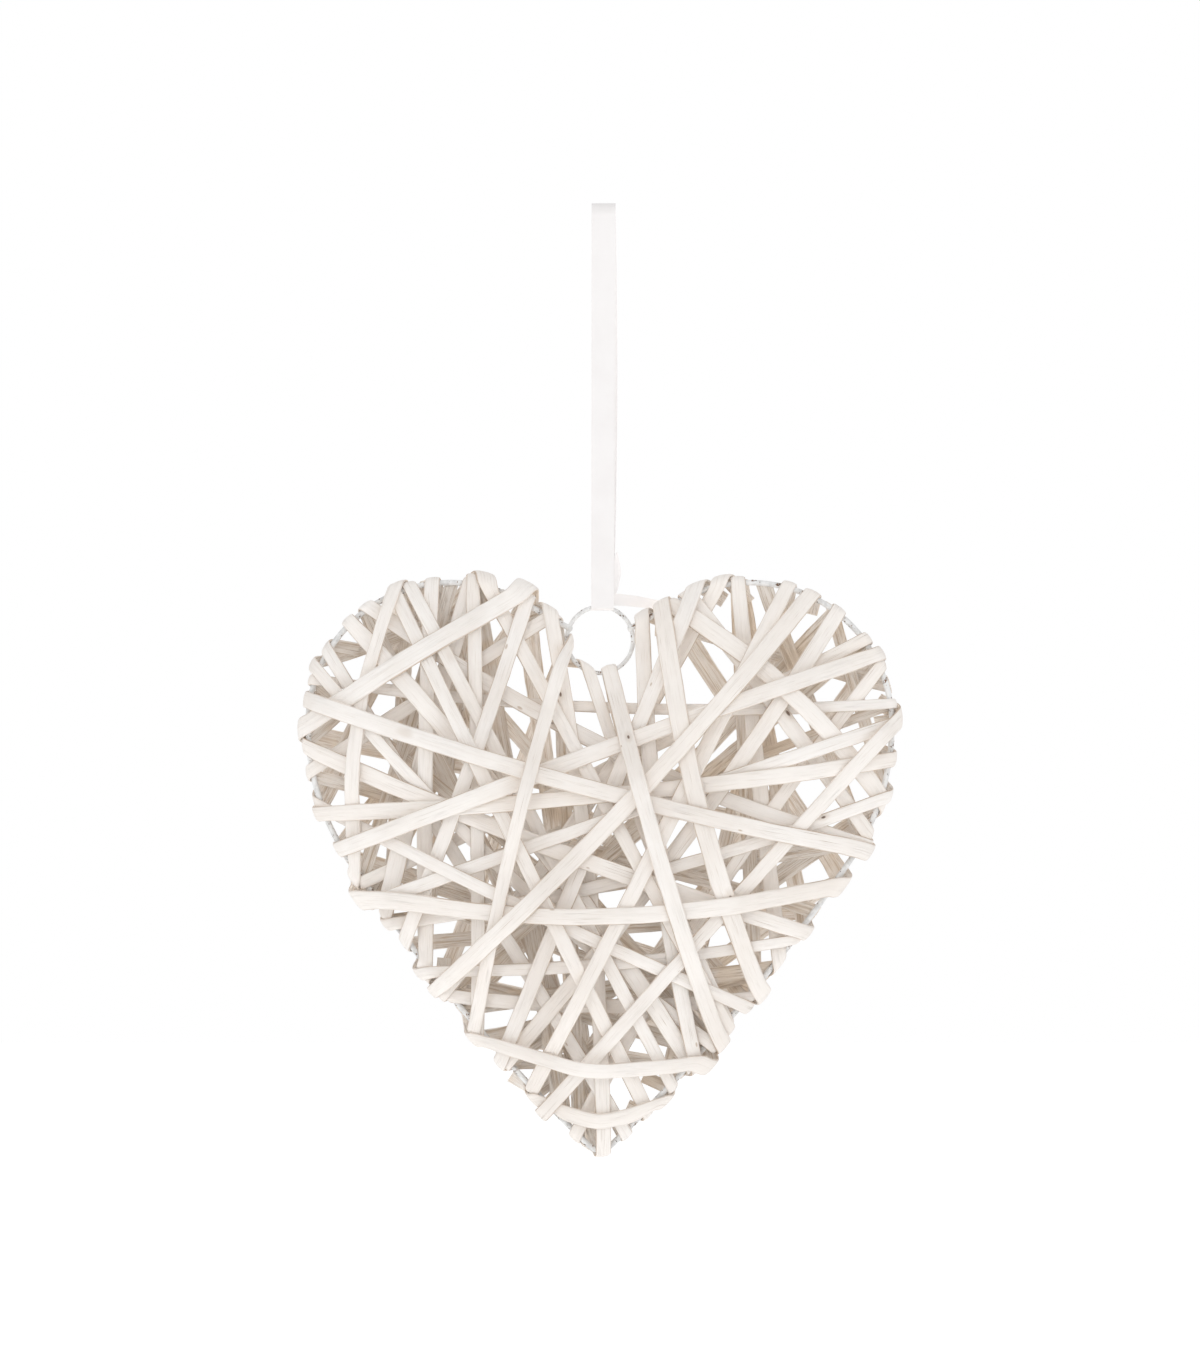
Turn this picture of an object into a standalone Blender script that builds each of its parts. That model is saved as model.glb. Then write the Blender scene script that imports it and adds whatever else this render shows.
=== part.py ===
# Hanging wicker heart: split willow strips wound round a bent wire outline, with a ring and a ribbon loop.
# Metres, +Z up. The front faces -Y. The origin is where a hook bears, under the top of the ribbon loop.

import math

import bpy
import bmesh
import numpy as np

# Bent wire outline
LOBE_RADIUS = 0.0594
LOBE_SPACING = 0.1246
SHOULDER_RADIUS = 0.1000
SIDE_TURN = math.radians(6.08)
TIP_DROP = 0.1794
TIP_BEND = 0.0060
WIRE_DIAMETER = 0.0024

# Hanging ring, welded into the cleft
RING_DIAMETER = 0.0276
RING_WIRE = 0.0018
JOINT_TURN = math.radians(21)
JOINT_STRAIGHT = 0.02344
WELD_SPARE = 0.00025
WIRE_PIECE = 0.0070
TIP_PIECE = 0.0016

# Ribbon
LOOP_DROP = 0.1678
RIBBON_WIDTH = 0.0104
RIBBON_WIDTH_AT_RING = 0.0094
RIBBON_THICKNESS = 0.0005
LOOP_TOP_RADIUS = 0.0050
KNOT_HEIGHT = 0.0066
KNOT_WIDTH = 0.0090
KNOT_DEPTH = 0.0056
KNOT_BEVEL = 0.0016
KNOT_SETBACK = 0.0012
SHORT_TAIL_ROUTE = (
    (0.0008, 0.0012, 0),
    (0.0028, 0.0034, 0.0060),
    (0.0048, 0.0040, 0.0130),
    (0.0052, 0.0042, 0.0215),
)
LONG_TAIL_ROUTE = (
    (0.0010, 0.0010, 0),
    (0.0065, 0.0040, 0.0006),
    (0.0150, 0.0082, -0.0006),
    (0.0245, 0.0096, -0.0026),
)
TAIL_WIDTH = 0.0042
SHORT_TAIL_WIDTH = 0.0064
LOOP_SWAY = 0.0015
RING_SWAY = 0.0010

# Willow strips
STRIP_THICKNESS = 0.0013
WRAP_THICKNESS = 0.0011
CROWN_SHARE = 0.55
WRAP_NARROWING = 0.80
TAIL_LENGTHS = (0.011, 0.009, 0.007)
TAIL_TURNS = (0.0, 0.25, -0.25, 0.5, -0.5, 0.75, -0.75)
CUT_END_REACH = 0.0010
WIDEST_LEAN = 1.4
PUFF_DEPTH = 0.014
PUFF_REACH = 0.080

# How the strips lie
GAP = 0.0003
FIRST_LIFT = 0.45
LIFT_LIMITS = (0.2, 1.1)
CELL_SPREAD = 0.71
MAP_MARGIN = 0.012
SHIFT_RADIUS = 0.0022
TYPICAL_RADIUS = 0.003
TOP_SPARE = 1.08
LAY_GAP = 0.00036
CELL = 0.0005
RIM_STEP = 0.0005
LOBE_STEP = 0.0010
RIM_BAND = 0.0100
SEAM_SPARE = 0.0002
RISE_RUN = 0.030
EASE = 0.009
SPAN_PIECE = 0.032
SPREAD = 0.010
STIFFNESS = 0.4
MOST_SHIFT = 0.006
NUDGES = (0.0, 0.001, -0.001, 0.002, -0.002, 0.003, -0.003, 0.004, -0.004)
SEAT_SHARE = 0.18
RIM_WEIGHT = 8
NUDGE_WEIGHT = 1.5
TURN_WEIGHT = 0.005
TAIL_SEAT = 0.15
MOST_RAISE = 0.012
RAISE_STEP = 0.0004
WRAP_PIECES = 4
WRAP_ROWS = 13
JOINT_CLEARANCE = 0.0022

FRONT = 1
BACK = -1

# The winding, strip by strip in the order it was laid. A place on the outline is a share of the way
# round it from the tip, up the left side. Each strip starts across the back at the first share, and
# then has two spans across the front: from share, to share, bow to its left and width, both in WINDING_UNIT.
WINDING_UNIT = 0.001
WINDING = (
    (0.106, (0.860, 0.596, 0.7, 6.7), (0.888, 0.114, 3.7, 6.2)),
    (0.399, (0.190, 0.672, -1.7, 5.8), (0.121, 0.585, -5.7, 6.2)),
    (0.829, (0.256, 0.454, 0.1, 5.8), (0.016, 0.689, 6.2, 5.8)),
    (0.177, (0.709, 0.304, 6.7, 4.6), (0.903, 0.493, 3.4, 5.0)),
    (0.025, (0.409, 0.173, -1.0, 7.9), (0.779, 0.569, -0.9, 6.7)),
    (0.609, (0.786, 0.353, 10.0, 6.7), (0.983, 0.320, -0.7, 5.8)),
    (0.923, (0.130, 0.392, 1.3, 6.7), (0.998, 0.455, -5.1, 6.2)),
    (0.430, (0.309, 0.918, -6.9, 5.4), (0.341, 0.933, 6.2, 7.5)),
    (0.105, (0.652, 0.069, 4.6, 6.7), (0.759, 0.560, -6.4, 7.9)),
    (0.870, (0.092, 0.410, -1.0, 5.8), (0.131, 0.848, -3.0, 5.0)),
    (0.648, (0.760, 0.168, 6.1, 5.4), (0.377, 0.948, 0.3, 5.8)),
    (0.699, (0.541, 0.925, -4.8, 6.7), (0.072, 0.574, 0.4, 6.7)),
    (0.597, (0.842, 0.267, 3.4, 7.1), (0.418, 0.909, 0.0, 5.8)),
    (0.830, (0.153, 0.445, -1.6, 6.2), (0.178, 0.715, 1.1, 5.8)),
    (0.386, (0.239, 0.888, -1.3, 5.4), (0.368, 0.967, 0.1, 6.2)),
    (0.898, (0.192, 0.371, 7.8, 5.8), (0.237, 0.739, -3.2, 6.7)),
    (0.809, (0.049, 0.622, 0.1, 6.7), (0.960, 0.038, 8.9, 6.7)),
    (0.443, (0.211, 0.682, 1.7, 7.1), (0.036, 0.720, 0.5, 6.2)),
    (0.206, (0.879, 0.548, 5.9, 7.9), (0.818, 0.176, 9.9, 7.1)),
    (0.004, (0.433, 0.280, -1.3, 7.9), (0.785, 0.295, 4.6, 7.1)),
    (0.939, (0.094, 0.462, 2.6, 5.8), (0.122, 0.636, -4.4, 7.5)),
    (0.124, (0.915, 0.503, 2.4, 7.1), (0.927, 0.090, 9.1, 6.2)),
)


def arc(centre, radius, start, end, step):
    count = max(2, math.ceil(radius * abs(end - start) / step) + 1)
    angles = np.linspace(start, end, count)
    return [(centre[0] + radius * math.cos(a), centre[1] + radius * math.sin(a)) for a in angles]


RING_CENTRE = np.array([0.0, -LOOP_DROP - RING_DIAMETER / 2])


def lobe_centre():
    # a straight piece of wire joins the ring's weld to the lobe's arc
    across = LOBE_SPACING / 2 - RING_DIAMETER / 2 * math.cos(JOINT_TURN)
    up = math.sqrt(LOBE_RADIUS ** 2 + JOINT_STRAIGHT ** 2 - across ** 2)
    drop = up - RING_DIAMETER / 2 * math.sin(JOINT_TURN)
    return np.array([LOBE_SPACING / 2, RING_CENTRE[1] - drop])


def side_chord(turn, shoulder, tip_height):
    # from the shoulder's end, for a shoulder of this turn, to the tip: its start, its way and its length
    start = shoulder + SHOULDER_RADIUS * np.array([math.cos(turn), -math.sin(turn)])
    chord = np.array([0.0, tip_height]) - start
    return start, math.atan2(-chord[0], -chord[1]), np.linalg.norm(chord)


def shoulder_turn(shoulder, tip_height):
    # the side's arc leaves the shoulder at half its own turn from its chord
    low, high = 0.0, math.pi / 2
    for halving in range(50):
        turn = (low + high) / 2
        if side_chord(turn, shoulder, tip_height)[1] - turn > SIDE_TURN:
            low = turn
        else:
            high = turn
    return turn


def right_half(step, bend_step):
    # the outline's right half as (x, z): from the ring, over the lobe and down the side to the tip
    lobe = lobe_centre()
    joint = RING_CENTRE + RING_DIAMETER / 2 * np.array([math.cos(JOINT_TURN), math.sin(JOINT_TURN)])
    away = joint - lobe
    touch = math.atan2(away[1], away[0]) - math.acos(LOBE_RADIUS / np.linalg.norm(away))
    shoulder = lobe + np.array([LOBE_RADIUS - SHOULDER_RADIUS, 0])
    points = [tuple(joint)]
    points += arc(lobe, LOBE_RADIUS, touch, 0, step)
    tip_height = lobe[1] - TIP_DROP
    turn = shoulder_turn(shoulder, tip_height)
    points += arc(shoulder, SHOULDER_RADIUS, 0, -turn, step)[1:]
    # the side is one long arc, tangent to the shoulder and aimed at the tip
    side_start, way, length = side_chord(turn, shoulder, tip_height)
    side_radius = length / (2 * math.sin(SIDE_TURN))
    side = side_start + side_radius * np.array([-math.cos(turn), math.sin(turn)])
    tip = np.array([0.0, side[1] - math.sqrt((side_radius - TIP_BEND) ** 2 - side[0] ** 2)])
    meet = math.atan2(tip[1] - side[1], tip[0] - side[0])
    points += arc(side, side_radius, -turn, meet, 2 * step)[1:]
    points += arc(tip, TIP_BEND, meet, -math.pi / 2, bend_step)[1:]
    return np.array(points)


def outline():
    # the closed loop the strips are wound on: tip, left side, left lobe, under the ring, right lobe, tip
    half = right_half(LOBE_STEP, RIM_STEP)
    left = half * np.array([-1, 1])
    under = arc(RING_CENTRE, RING_DIAMETER / 2, math.pi - JOINT_TURN, 2 * math.pi + JOINT_TURN, RIM_STEP)
    return np.vstack([left[::-1], under[1:-1], half])


def even_steps(points, step):
    lengths = np.concatenate([[0], np.cumsum(np.linalg.norm(np.diff(points, axis=0), axis=1))])
    count = round(lengths[-1] / step)
    at = np.linspace(0, lengths[-1], count, endpoint=False)
    return np.stack([np.interp(at, lengths, points[:, i]) for i in range(2)], axis=1), lengths[-1]


rim, rim_length = even_steps(outline(), RIM_STEP)
rim_count = len(rim)
rim_along = np.roll(rim, -1, axis=0) - np.roll(rim, 1, axis=0)
rim_along /= np.linalg.norm(rim_along, axis=1)[:, None]
rim_out = np.stack([-rim_along[:, 1], rim_along[:, 0]], axis=1)
rim_coarse = rim[::4]
on_ring = np.linalg.norm(rim - RING_CENTRE, axis=1) < RING_DIAMETER / 2 + CELL / 2
wire_radius_at = np.where(on_ring, RING_WIRE / 2, WIRE_DIAMETER / 2)
joints = np.nonzero(on_ring)[0][[0, -1]]


def rim_point(place):
    # place is a distance along the outline, in steps
    low = math.floor(place)
    part = place - low
    here = rim[low % rim_count] * (1 - part) + rim[(low + 1) % rim_count] * part
    along = rim_along[low % rim_count] * (1 - part) + rim_along[(low + 1) % rim_count] * part
    along /= np.linalg.norm(along)
    return here, along, np.array([-along[1], along[0]])


def puff(points):
    # how far the winding stands forward of the wire's plane before anything is laid on it
    points = np.atleast_2d(points)
    squared = ((points[:, None, :] - rim_coarse[None]) ** 2).sum(axis=2) + 1e-9
    near = ((squared ** -3).sum(axis=1) * 4 * RIM_STEP / (3 * math.pi / 8)) ** -0.2
    return PUFF_DEPTH * (1 - (1 - np.clip(near / PUFF_REACH, 0, 1)) ** 2)


# Two height maps hold how high the strips already laid stand, in front and behind, and a third map
# holds how far they stand off the wire all round it.
low_corner = rim.min(axis=0) - MAP_MARGIN
map_size = np.ceil((rim.max(axis=0) + MAP_MARGIN - low_corner) / CELL).astype(int)
pile = {FRONT: np.full(map_size, -1.0), BACK: np.full(map_size, -1.0)}
turns = np.linspace(0, math.pi, WRAP_ROWS)
rim_pile = np.repeat(wire_radius_at[None], WRAP_ROWS, axis=0)


def window(points, spread):
    low = np.floor((points.min(axis=0) - spread - low_corner) / CELL).astype(int)
    high = np.ceil((points.max(axis=0) + spread - low_corner) / CELL).astype(int) + 1
    low = np.clip(low, 0, map_size - 1)
    high = np.clip(high, 1, map_size)
    xs, zs = np.meshgrid(np.arange(low[0], high[0]), np.arange(low[1], high[1]), indexing="ij")
    cells = np.stack([xs.ravel(), zs.ravel()], axis=1)
    return cells, low_corner + (cells + 0.5) * CELL


def near_wire():
    # every cell close to the wire, with its nearest place on the outline and its distance inward
    place = np.full(map_size, -1)
    inward = np.full(map_size, 0.0)
    nearest = np.full(map_size, 1.1 * RIM_BAND)
    for index in range(rim_count):
        cells, points = window(rim[index : index + 1], RIM_BAND)
        away = points - rim[index]
        distance = np.linalg.norm(away, axis=1)
        closer = distance < nearest[cells[:, 0], cells[:, 1]]
        cells = cells[closer]
        nearest[cells[:, 0], cells[:, 1]] = distance[closer]
        place[cells[:, 0], cells[:, 1]] = index
        inward[cells[:, 0], cells[:, 1]] = -(away[closer] @ rim_out[index])
    return place, inward


cell_place, cell_inward = near_wire()


def lay_wire_in_maps():
    bare = cell_place >= 0
    radius = np.where(bare, wire_radius_at[cell_place], 0)
    height = np.sqrt(np.clip(radius ** 2 - cell_inward ** 2, 0, None))
    height[~bare | (np.abs(cell_inward) > radius + CELL)] = -1
    for side in (FRONT, BACK):
        pile[side] = np.maximum(pile[side], height)


lay_wire_in_maps()


def left_of(direction):
    return np.array([-direction[1], direction[0]])


def stretch_cells(here, there, spread):
    # cells under a four-sided stretch between two sections, with their share along and across it
    centre_a, reach_a = here
    centre_b, reach_b = there
    corners = np.array([centre_a + reach_a, centre_a - reach_a, centre_b + reach_b, centre_b - reach_b])
    cells, points = window(corners, spread)
    across_a = reach_a / np.linalg.norm(reach_a)
    across_b = reach_b / np.linalg.norm(reach_b)
    ahead = centre_b - centre_a
    normal_a = left_of(across_a) * np.sign(left_of(across_a) @ ahead)
    normal_b = left_of(across_b) * np.sign(left_of(across_b) @ ahead)
    from_a = (points - centre_a) @ normal_a
    to_b = (centre_b - points) @ normal_b
    length = np.linalg.norm(ahead)
    edge = {}
    for sign in (1, -1):
        start = centre_a + sign * reach_a
        run = centre_b + sign * reach_b - start
        inside = left_of(run) / np.linalg.norm(run)
        opposite = (centre_a + centre_b - sign * (reach_a + reach_b)) / 2
        inside *= np.sign(inside @ (opposite - start))
        edge[sign] = (points - start) @ inside
    width = edge[1] + edge[-1]
    keep = (from_a > -spread) & (to_b > -spread) & (width > 1e-5)
    keep &= (edge[1] > -spread) & (edge[-1] > -spread)
    total = np.maximum(from_a + to_b, length * 0.2)
    along = np.clip(from_a / total, 0, 1)
    across = np.clip((edge[-1] - edge[1]) / np.maximum(width, 1e-5), -1.2, 1.2)
    return cells[keep], along[keep], across[keep]


def needed(side, cells):
    return pile[side][cells[:, 0], cells[:, 1]] + LAY_GAP


def plan_path(start, end, bow, along):
    middle = (start + end) / 2
    chord = end - start
    bent = middle + 2 * bow * left_of(chord / np.linalg.norm(chord))
    return start * (1 - along) ** 2 + 2 * along * (1 - along) * bent + end * along ** 2


def tilt_of(centre, reach):
    ends = puff(np.array([centre + reach, centre - reach]))
    return (ends[0] - ends[1]) / 2


def first_rises(side, place, inward, reach, width, radii):
    # how high a span gets on its first piece, for each radius its wrap may have
    here, along, out = rim_point(place)
    centre = here + inward * EASE
    side_reach = width / 2 * left_of(inward) * np.sign(left_of(inward) @ reach)
    cells, share, across = stretch_cells((here, reach), (centre, side_reach), CELL_SPREAD * CELL)
    tilt = tilt_of(centre, side_reach)
    use = share > SEAT_SHARE
    want = (needed(side, cells) - across * share * tilt)[use]
    share = share[use]
    rises = [((want - radius * (1 - share)) / share).max(initial=0) for radius in radii]
    return np.maximum(rises, puff(centre)[0])


def settle_radius(low, ends):
    # the radius that keeps both the wrap small and the spans that leave it low
    radii = low + np.arange(0, MOST_RAISE, RAISE_STEP)
    cost = RIM_WEIGHT * radii
    for end in ends:
        cost = cost + first_rises(*end, radii)
    best = int(cost.argmin())
    return radii[best], cost[best]


def ring_closeness(place, half_length):
    # on the ring's underside the wire bends towards the wrap, which then needs more room
    if on_ring[int(round(place)) % rim_count]:
        return half_length ** 2 / RING_DIAMETER
    return 0.0


def rows_covered(place, half_length, radius):
    reach = half_length + LAY_GAP
    if on_ring[int(round(place)) % rim_count]:
        reach *= RING_DIAMETER / 2 / (RING_DIAMETER / 2 - radius)
    low = math.floor(place - reach / RIM_STEP)
    high = math.ceil(place + reach / RIM_STEP)
    return np.arange(low, high + 1) % rim_count


def clear_of_joints(place, half_length):
    reach = (half_length + JOINT_CLEARANCE) / RIM_STEP
    for joint in joints:
        if abs(place - joint) < reach:
            return joint + math.copysign(reach, place - joint if place != joint else 1)
    return place


def wrap_radius(place, shift, half_length):
    middle_turn = (math.pi - 0.6) / WRAP_PIECES / 2
    most = 0.0
    for row, turn in enumerate(turns):
        at = place + shift * turn / math.pi
        most = max(most, rim_pile[row, rows_covered(at, half_length, TYPICAL_RADIUS)].max())
    return (most + LAY_GAP + ring_closeness(place, half_length)) / math.cos(middle_turn)


class Wrap:
    # one turn of a strip round the wire, from a span on one side to a span on the other
    def __init__(self, place, front_inward, width, front_reach_sign):
        here, along, out = rim_point(place)
        outward = -front_inward
        lean = (outward @ along) / max(outward @ out, 0.25)
        sine = 1 / math.hypot(1, lean)
        self.half = width / 2 * WRAP_NARROWING * min(1 / sine, WIDEST_LEAN)
        self.shift = np.clip(lean * math.pi * SHIFT_RADIUS, -MOST_SHIFT, MOST_SHIFT) / RIM_STEP
        self.sign = front_reach_sign
        self.sine = max(sine, 0.3)
        self.width = width
        self.front_inward = front_inward
        best = None
        for nudge in NUDGES:
            moved = clear_of_joints(place + nudge / RIM_STEP, self.half)
            moved_back = clear_of_joints(moved + self.shift, self.half) - self.shift
            radius, cost = self.radius_at(moved_back)
            score = cost + NUDGE_WEIGHT * abs(nudge)
            if best is None or score < best[0]:
                best = (score, moved_back, radius)
        self.place = best[1]
        self.radius = best[2]
        self.lift = {FRONT: FIRST_LIFT, BACK: FIRST_LIFT}

    def radius_at(self, place):
        ends = []
        for side, at in ((FRONT, place), (BACK, place + self.shift)):
            here, along, out = rim_point(at)
            inward = self.front_inward
            if side == BACK:
                inward = back_inward(inward, along, out)
            ends.append((side, at, inward, self.half * along * self.sign, self.width))
        return settle_radius(wrap_radius(place, self.shift, self.half), ends)

    def station(self, turn):
        return self.place + self.shift * turn / math.pi

    def contact(self, side):
        return self.place if side == FRONT else self.place + self.shift

    def section(self, turn):
        here, along, out = rim_point(self.station(turn))
        outward = np.array([out[0] * math.sin(turn), -math.cos(turn), out[1] * math.sin(turn)])
        centre = np.array([here[0], 0, here[1]]) + self.radius * outward
        reach = self.half * self.sign * np.array([along[0], 0, along[1]])
        top = WRAP_THICKNESS * outward
        crown = CROWN_SHARE * reach
        return [centre - reach, centre + reach, centre + crown + top, centre - crown + top]

    def turn_at(self, side):
        return self.lift[FRONT] if side == FRONT else math.pi - self.lift[BACK]

    def record_in_maps(self):
        outer = self.radius + WRAP_THICKNESS
        for row, turn in enumerate(turns):
            if self.turn_at(FRONT) - 0.3 < turn < self.turn_at(BACK) + 0.3:
                columns = rows_covered(self.station(turn), self.half, outer)
                rim_pile[row, columns] = np.maximum(rim_pile[row, columns], outer)
        steps = (cell_place - self.place + rim_count / 2) % rim_count - rim_count / 2
        close = (cell_place >= 0) & (cell_inward < CELL) & (cell_inward > -outer - CELL)
        height = np.sqrt(np.clip(outer ** 2 - cell_inward ** 2, 0, None))
        turned = np.arcsin(np.clip(-cell_inward / outer, 0, 1))
        for side in (FRONT, BACK):
            turn = turned if side == FRONT else math.pi - turned
            off = np.abs(steps - self.shift * turn / math.pi) * RIM_STEP
            under = close & (off < self.half + CELL) & (turned > self.lift[side] - 0.25)
            pile[side][under] = np.maximum(pile[side][under], height[under])


def span_section(centre, reach, height, tilt, side, thickness):
    low = np.array([centre[0], -side * height, centre[1]])
    lean = np.array([reach[0], -side * tilt, reach[1]])
    up = np.array([0, -side * thickness, 0])
    return [low - lean, low + lean, low + CROWN_SHARE * lean + up, low - CROWN_SHARE * lean + up]


def lay_span(side, start, end, bow, width_start, width_end, reach_sign, order):
    # a stretch between two contacts with the wire, laid on what is already there and then smoothed
    point_a = rim_point(start.contact(side))[0]
    point_b = rim_point(end.contact(side))[0]
    length = np.linalg.norm(point_b - point_a)
    ease = min(EASE, 0.2 * length) / length
    inner = max(2, round((1 - 2 * ease) * length / SPAN_PIECE))
    shares = np.concatenate([[0], np.linspace(ease, 1 - ease, inner + 1), [1]])
    centres = np.array([plan_path(point_a, point_b, bow, s) for s in shares])
    widths = width_start + (width_end - width_start) * shares
    distances = np.concatenate([[0], np.cumsum(np.linalg.norm(np.diff(centres, axis=0), axis=1))])
    last = len(shares) - 1
    sections = []
    for index in range(last + 1):
        if index in (0, last):
            wrap = start if index == 0 else end
            here, along, out = rim_point(wrap.contact(side))
            sections.append((here, wrap.half * along * wrap.sign))
            continue
        heading = centres[index + 1] - centres[index - 1]
        heading /= np.linalg.norm(heading)
        sections.append((centres[index], widths[index] / 2 * left_of(heading) * reach_sign))
    tilts = np.array([0] + [tilt_of(*sections[i]) for i in range(1, last)] + [0])
    covered = [stretch_cells(sections[i], sections[i + 1], CELL_SPREAD * CELL) for i in range(last)]
    wants = []
    for index, (cells, along, across) in enumerate(covered):
        tilt = tilts[index] + (tilts[index + 1] - tilts[index]) * along
        twist = 0.25 * abs(tilts[index + 1] - tilts[index])
        wants.append(needed(side, cells) + twist - across * tilt)
    inward = np.minimum(distances, distances[-1] - distances)
    base = puff(centres) + SPREAD * (order - 0.5) * np.clip(inward / RISE_RUN, 0, 1)
    heights = base.copy()
    for attempt in range(3):
        heights[0] = start.radius / math.cos(start.lift[side])
        heights[-1] = end.radius / math.cos(end.lift[side])
        for sweep in range(60):
            worst = 0.0
            for index, (cells, along, across) in enumerate(covered):
                missing = wants[index] - heights[index] * (1 - along) - heights[index + 1] * along
                if index == 0:
                    missing = np.where(along > SEAT_SHARE, missing, 0)
                if index == last - 1:
                    missing = np.where(along < 1 - SEAT_SHARE, missing, 0)
                if not len(missing) or missing.max() <= 1e-6:
                    continue
                most = int(missing.argmax())
                worst = max(worst, missing[most])
                weight_a = 0 if index == 0 else 1 - along[most]
                weight_b = 0 if index == last - 1 else along[most]
                scale = missing[most] / (weight_a ** 2 + weight_b ** 2)
                heights[index] += weight_a * scale
                heights[index + 1] += weight_b * scale
            if worst <= 1e-6:
                break
        for settle in range(4):
            for index in range(1, last):
                low = base[index]
                for other, segment, mine in ((index - 1, index - 1, 1), (index + 1, index, 0)):
                    along = covered[segment][1]
                    weight = along if mine else 1 - along
                    use = weight > 0.02
                    if use.any():
                        least = (wants[segment] - heights[other] * (1 - weight))[use] / weight[use]
                        low = max(low, least.max())
                heights[index] = min(heights[index], low)
            proud = heights - base
            for index in list(range(1, last)) + list(range(last - 1, 0, -1)):
                for other in (index - 1, index + 1):
                    step = abs(distances[index] - distances[other])
                    proud[index] = max(proud[index], proud[other] - STIFFNESS * step)
            heights[1:last] = (base + proud)[1:last]
        for wrap, near, far in ((start, 0, 1), (end, -1, -2)):
            step = abs(distances[far] - distances[near])
            slope = (heights[far] - heights[near]) / step
            wrap.lift[side] = min(max(math.atan2(slope, wrap.sine), LIFT_LIMITS[0]), LIFT_LIMITS[1])
    rise = np.gradient(heights, distances)
    for index, (cells, along, across) in enumerate(covered):
        tilt = tilts[index] + (tilts[index + 1] - tilts[index]) * along
        crown = np.clip((1 - np.abs(across)) / (1 - CROWN_SHARE), 0, 1)
        climb = heights[index + 1] - heights[index]
        thick = STRIP_THICKNESS * math.hypot(1, climb / (distances[index + 1] - distances[index]))
        top = heights[index] + climb * along + across * tilt
        top += crown * thick * TOP_SPARE + 0.25 * abs(tilts[index + 1] - tilts[index])
        pile[side][cells[:, 0], cells[:, 1]] = np.maximum(pile[side][cells[:, 0], cells[:, 1]], top)
    made = []
    for index in range(1, last):
        half_width = np.linalg.norm(sections[index][1])
        thick = STRIP_THICKNESS * math.sqrt(1 + rise[index] ** 2 + (tilts[index] / half_width) ** 2)
        made.append(span_section(*sections[index], heights[index], tilts[index], side, thick))
    return made


class Ending:
    # a strip's cut end, lying over the wire on the back
    def __init__(self, place, inward, width, sign):
        here, along, out = rim_point(place)
        self.sine = max(-(inward @ out), 0.3)
        self.half = width / 2 * min(1 / self.sine, WIDEST_LEAN)
        self.sign = sign
        self.place = clear_of_joints(place, self.half)
        reach = self.half * along * sign
        low = rim_pile[WRAP_ROWS // 2 :, rows_covered(self.place, self.half, TYPICAL_RADIUS)].max() + LAY_GAP
        self.radius = settle_radius(low, [(BACK, self.place, inward, reach, width)])[0]
        self.lift = {BACK: FIRST_LIFT}

    def contact(self, side):
        return self.place

    def cut_section(self):
        here, along, out = rim_point(self.place)
        slope = math.tan(self.lift[BACK])
        height = self.radius / math.cos(self.lift[BACK]) - slope * CUT_END_REACH
        centre = here + out * CUT_END_REACH
        return span_section(centre, self.half * along * self.sign, height, 0, BACK, STRIP_THICKNESS)

    def record_in_maps(self):
        outer = math.hypot(self.radius + STRIP_THICKNESS, CUT_END_REACH) + SEAM_SPARE
        columns = rows_covered(self.place, self.half, outer)
        rows = turns > math.pi * 0.55
        for row in np.nonzero(rows)[0]:
            rim_pile[row, columns] = np.maximum(rim_pile[row, columns], outer)
        steps = np.abs((cell_place - self.place + rim_count / 2) % rim_count - rim_count / 2) * RIM_STEP
        under = (cell_place >= 0) & (steps < self.half + CELL)
        under &= np.abs(cell_inward) < CUT_END_REACH + CELL
        top = self.radius / math.cos(self.lift[BACK]) + STRIP_THICKNESS
        pile[BACK][under] = np.maximum(pile[BACK][under], top)


def tail_stretch(wrap, width, length, turn):
    # one way a tail may lie: its end, the cells under it and the heights it has to clear there
    here, along, out = rim_point(wrap.contact(BACK))
    inward = back_inward(wrap.front_inward, along, out)
    way = inward * math.cos(turn) + left_of(inward) * math.sin(turn)
    centre = here + way * length
    reach = width / 2 * left_of(way) * np.sign(left_of(way) @ (along * wrap.sign))
    tilt = tilt_of(centre, reach)
    start_reach = wrap.half * along * wrap.sign
    cells, share, across = stretch_cells((here, start_reach), (centre, reach), CELL_SPREAD * CELL)
    use = share > TAIL_SEAT
    want = needed(BACK, cells) + 0.25 * abs(tilt) - across * share * tilt
    return length, centre, reach, tilt, cells, share, across, want[use], share[use]


def lay_tail(wrap, width):
    # the tucked end of a strip, a short way in from the wire on the back, where it lies lowest
    start = wrap.radius / math.cos(FIRST_LIFT)
    best = None
    for length in TAIL_LENGTHS:
        for turn in TAIL_TURNS:
            tail = tail_stretch(wrap, width, length, turn)
            score = ((tail[-2] - start) / tail[-1]).max(initial=0) + TURN_WEIGHT * abs(turn)
            if best is None or score < best[0]:
                best = (score, tail)
    length, centre, reach, tilt, cells, share, across, want, used = best[1]
    slope = math.tan(FIRST_LIFT) * wrap.sine
    for attempt in range(3):
        start = wrap.radius / math.cos(wrap.lift[BACK])
        height = max(start + slope * length, start + ((want - start) / used).max())
        wrap.lift[BACK] = min(math.atan2((height - start) / length, wrap.sine), LIFT_LIMITS[1])
    top = start + (height - start) * share + across * share * tilt
    top += STRIP_THICKNESS * 1.25 * np.clip((1 - np.abs(across)) / (1 - CROWN_SHARE), 0, 1)
    pile[BACK][cells[:, 0], cells[:, 1]] = np.maximum(pile[BACK][cells[:, 0], cells[:, 1]], top)
    return [span_section(centre, reach, height, tilt, BACK, STRIP_THICKNESS * 1.1)]


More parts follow.
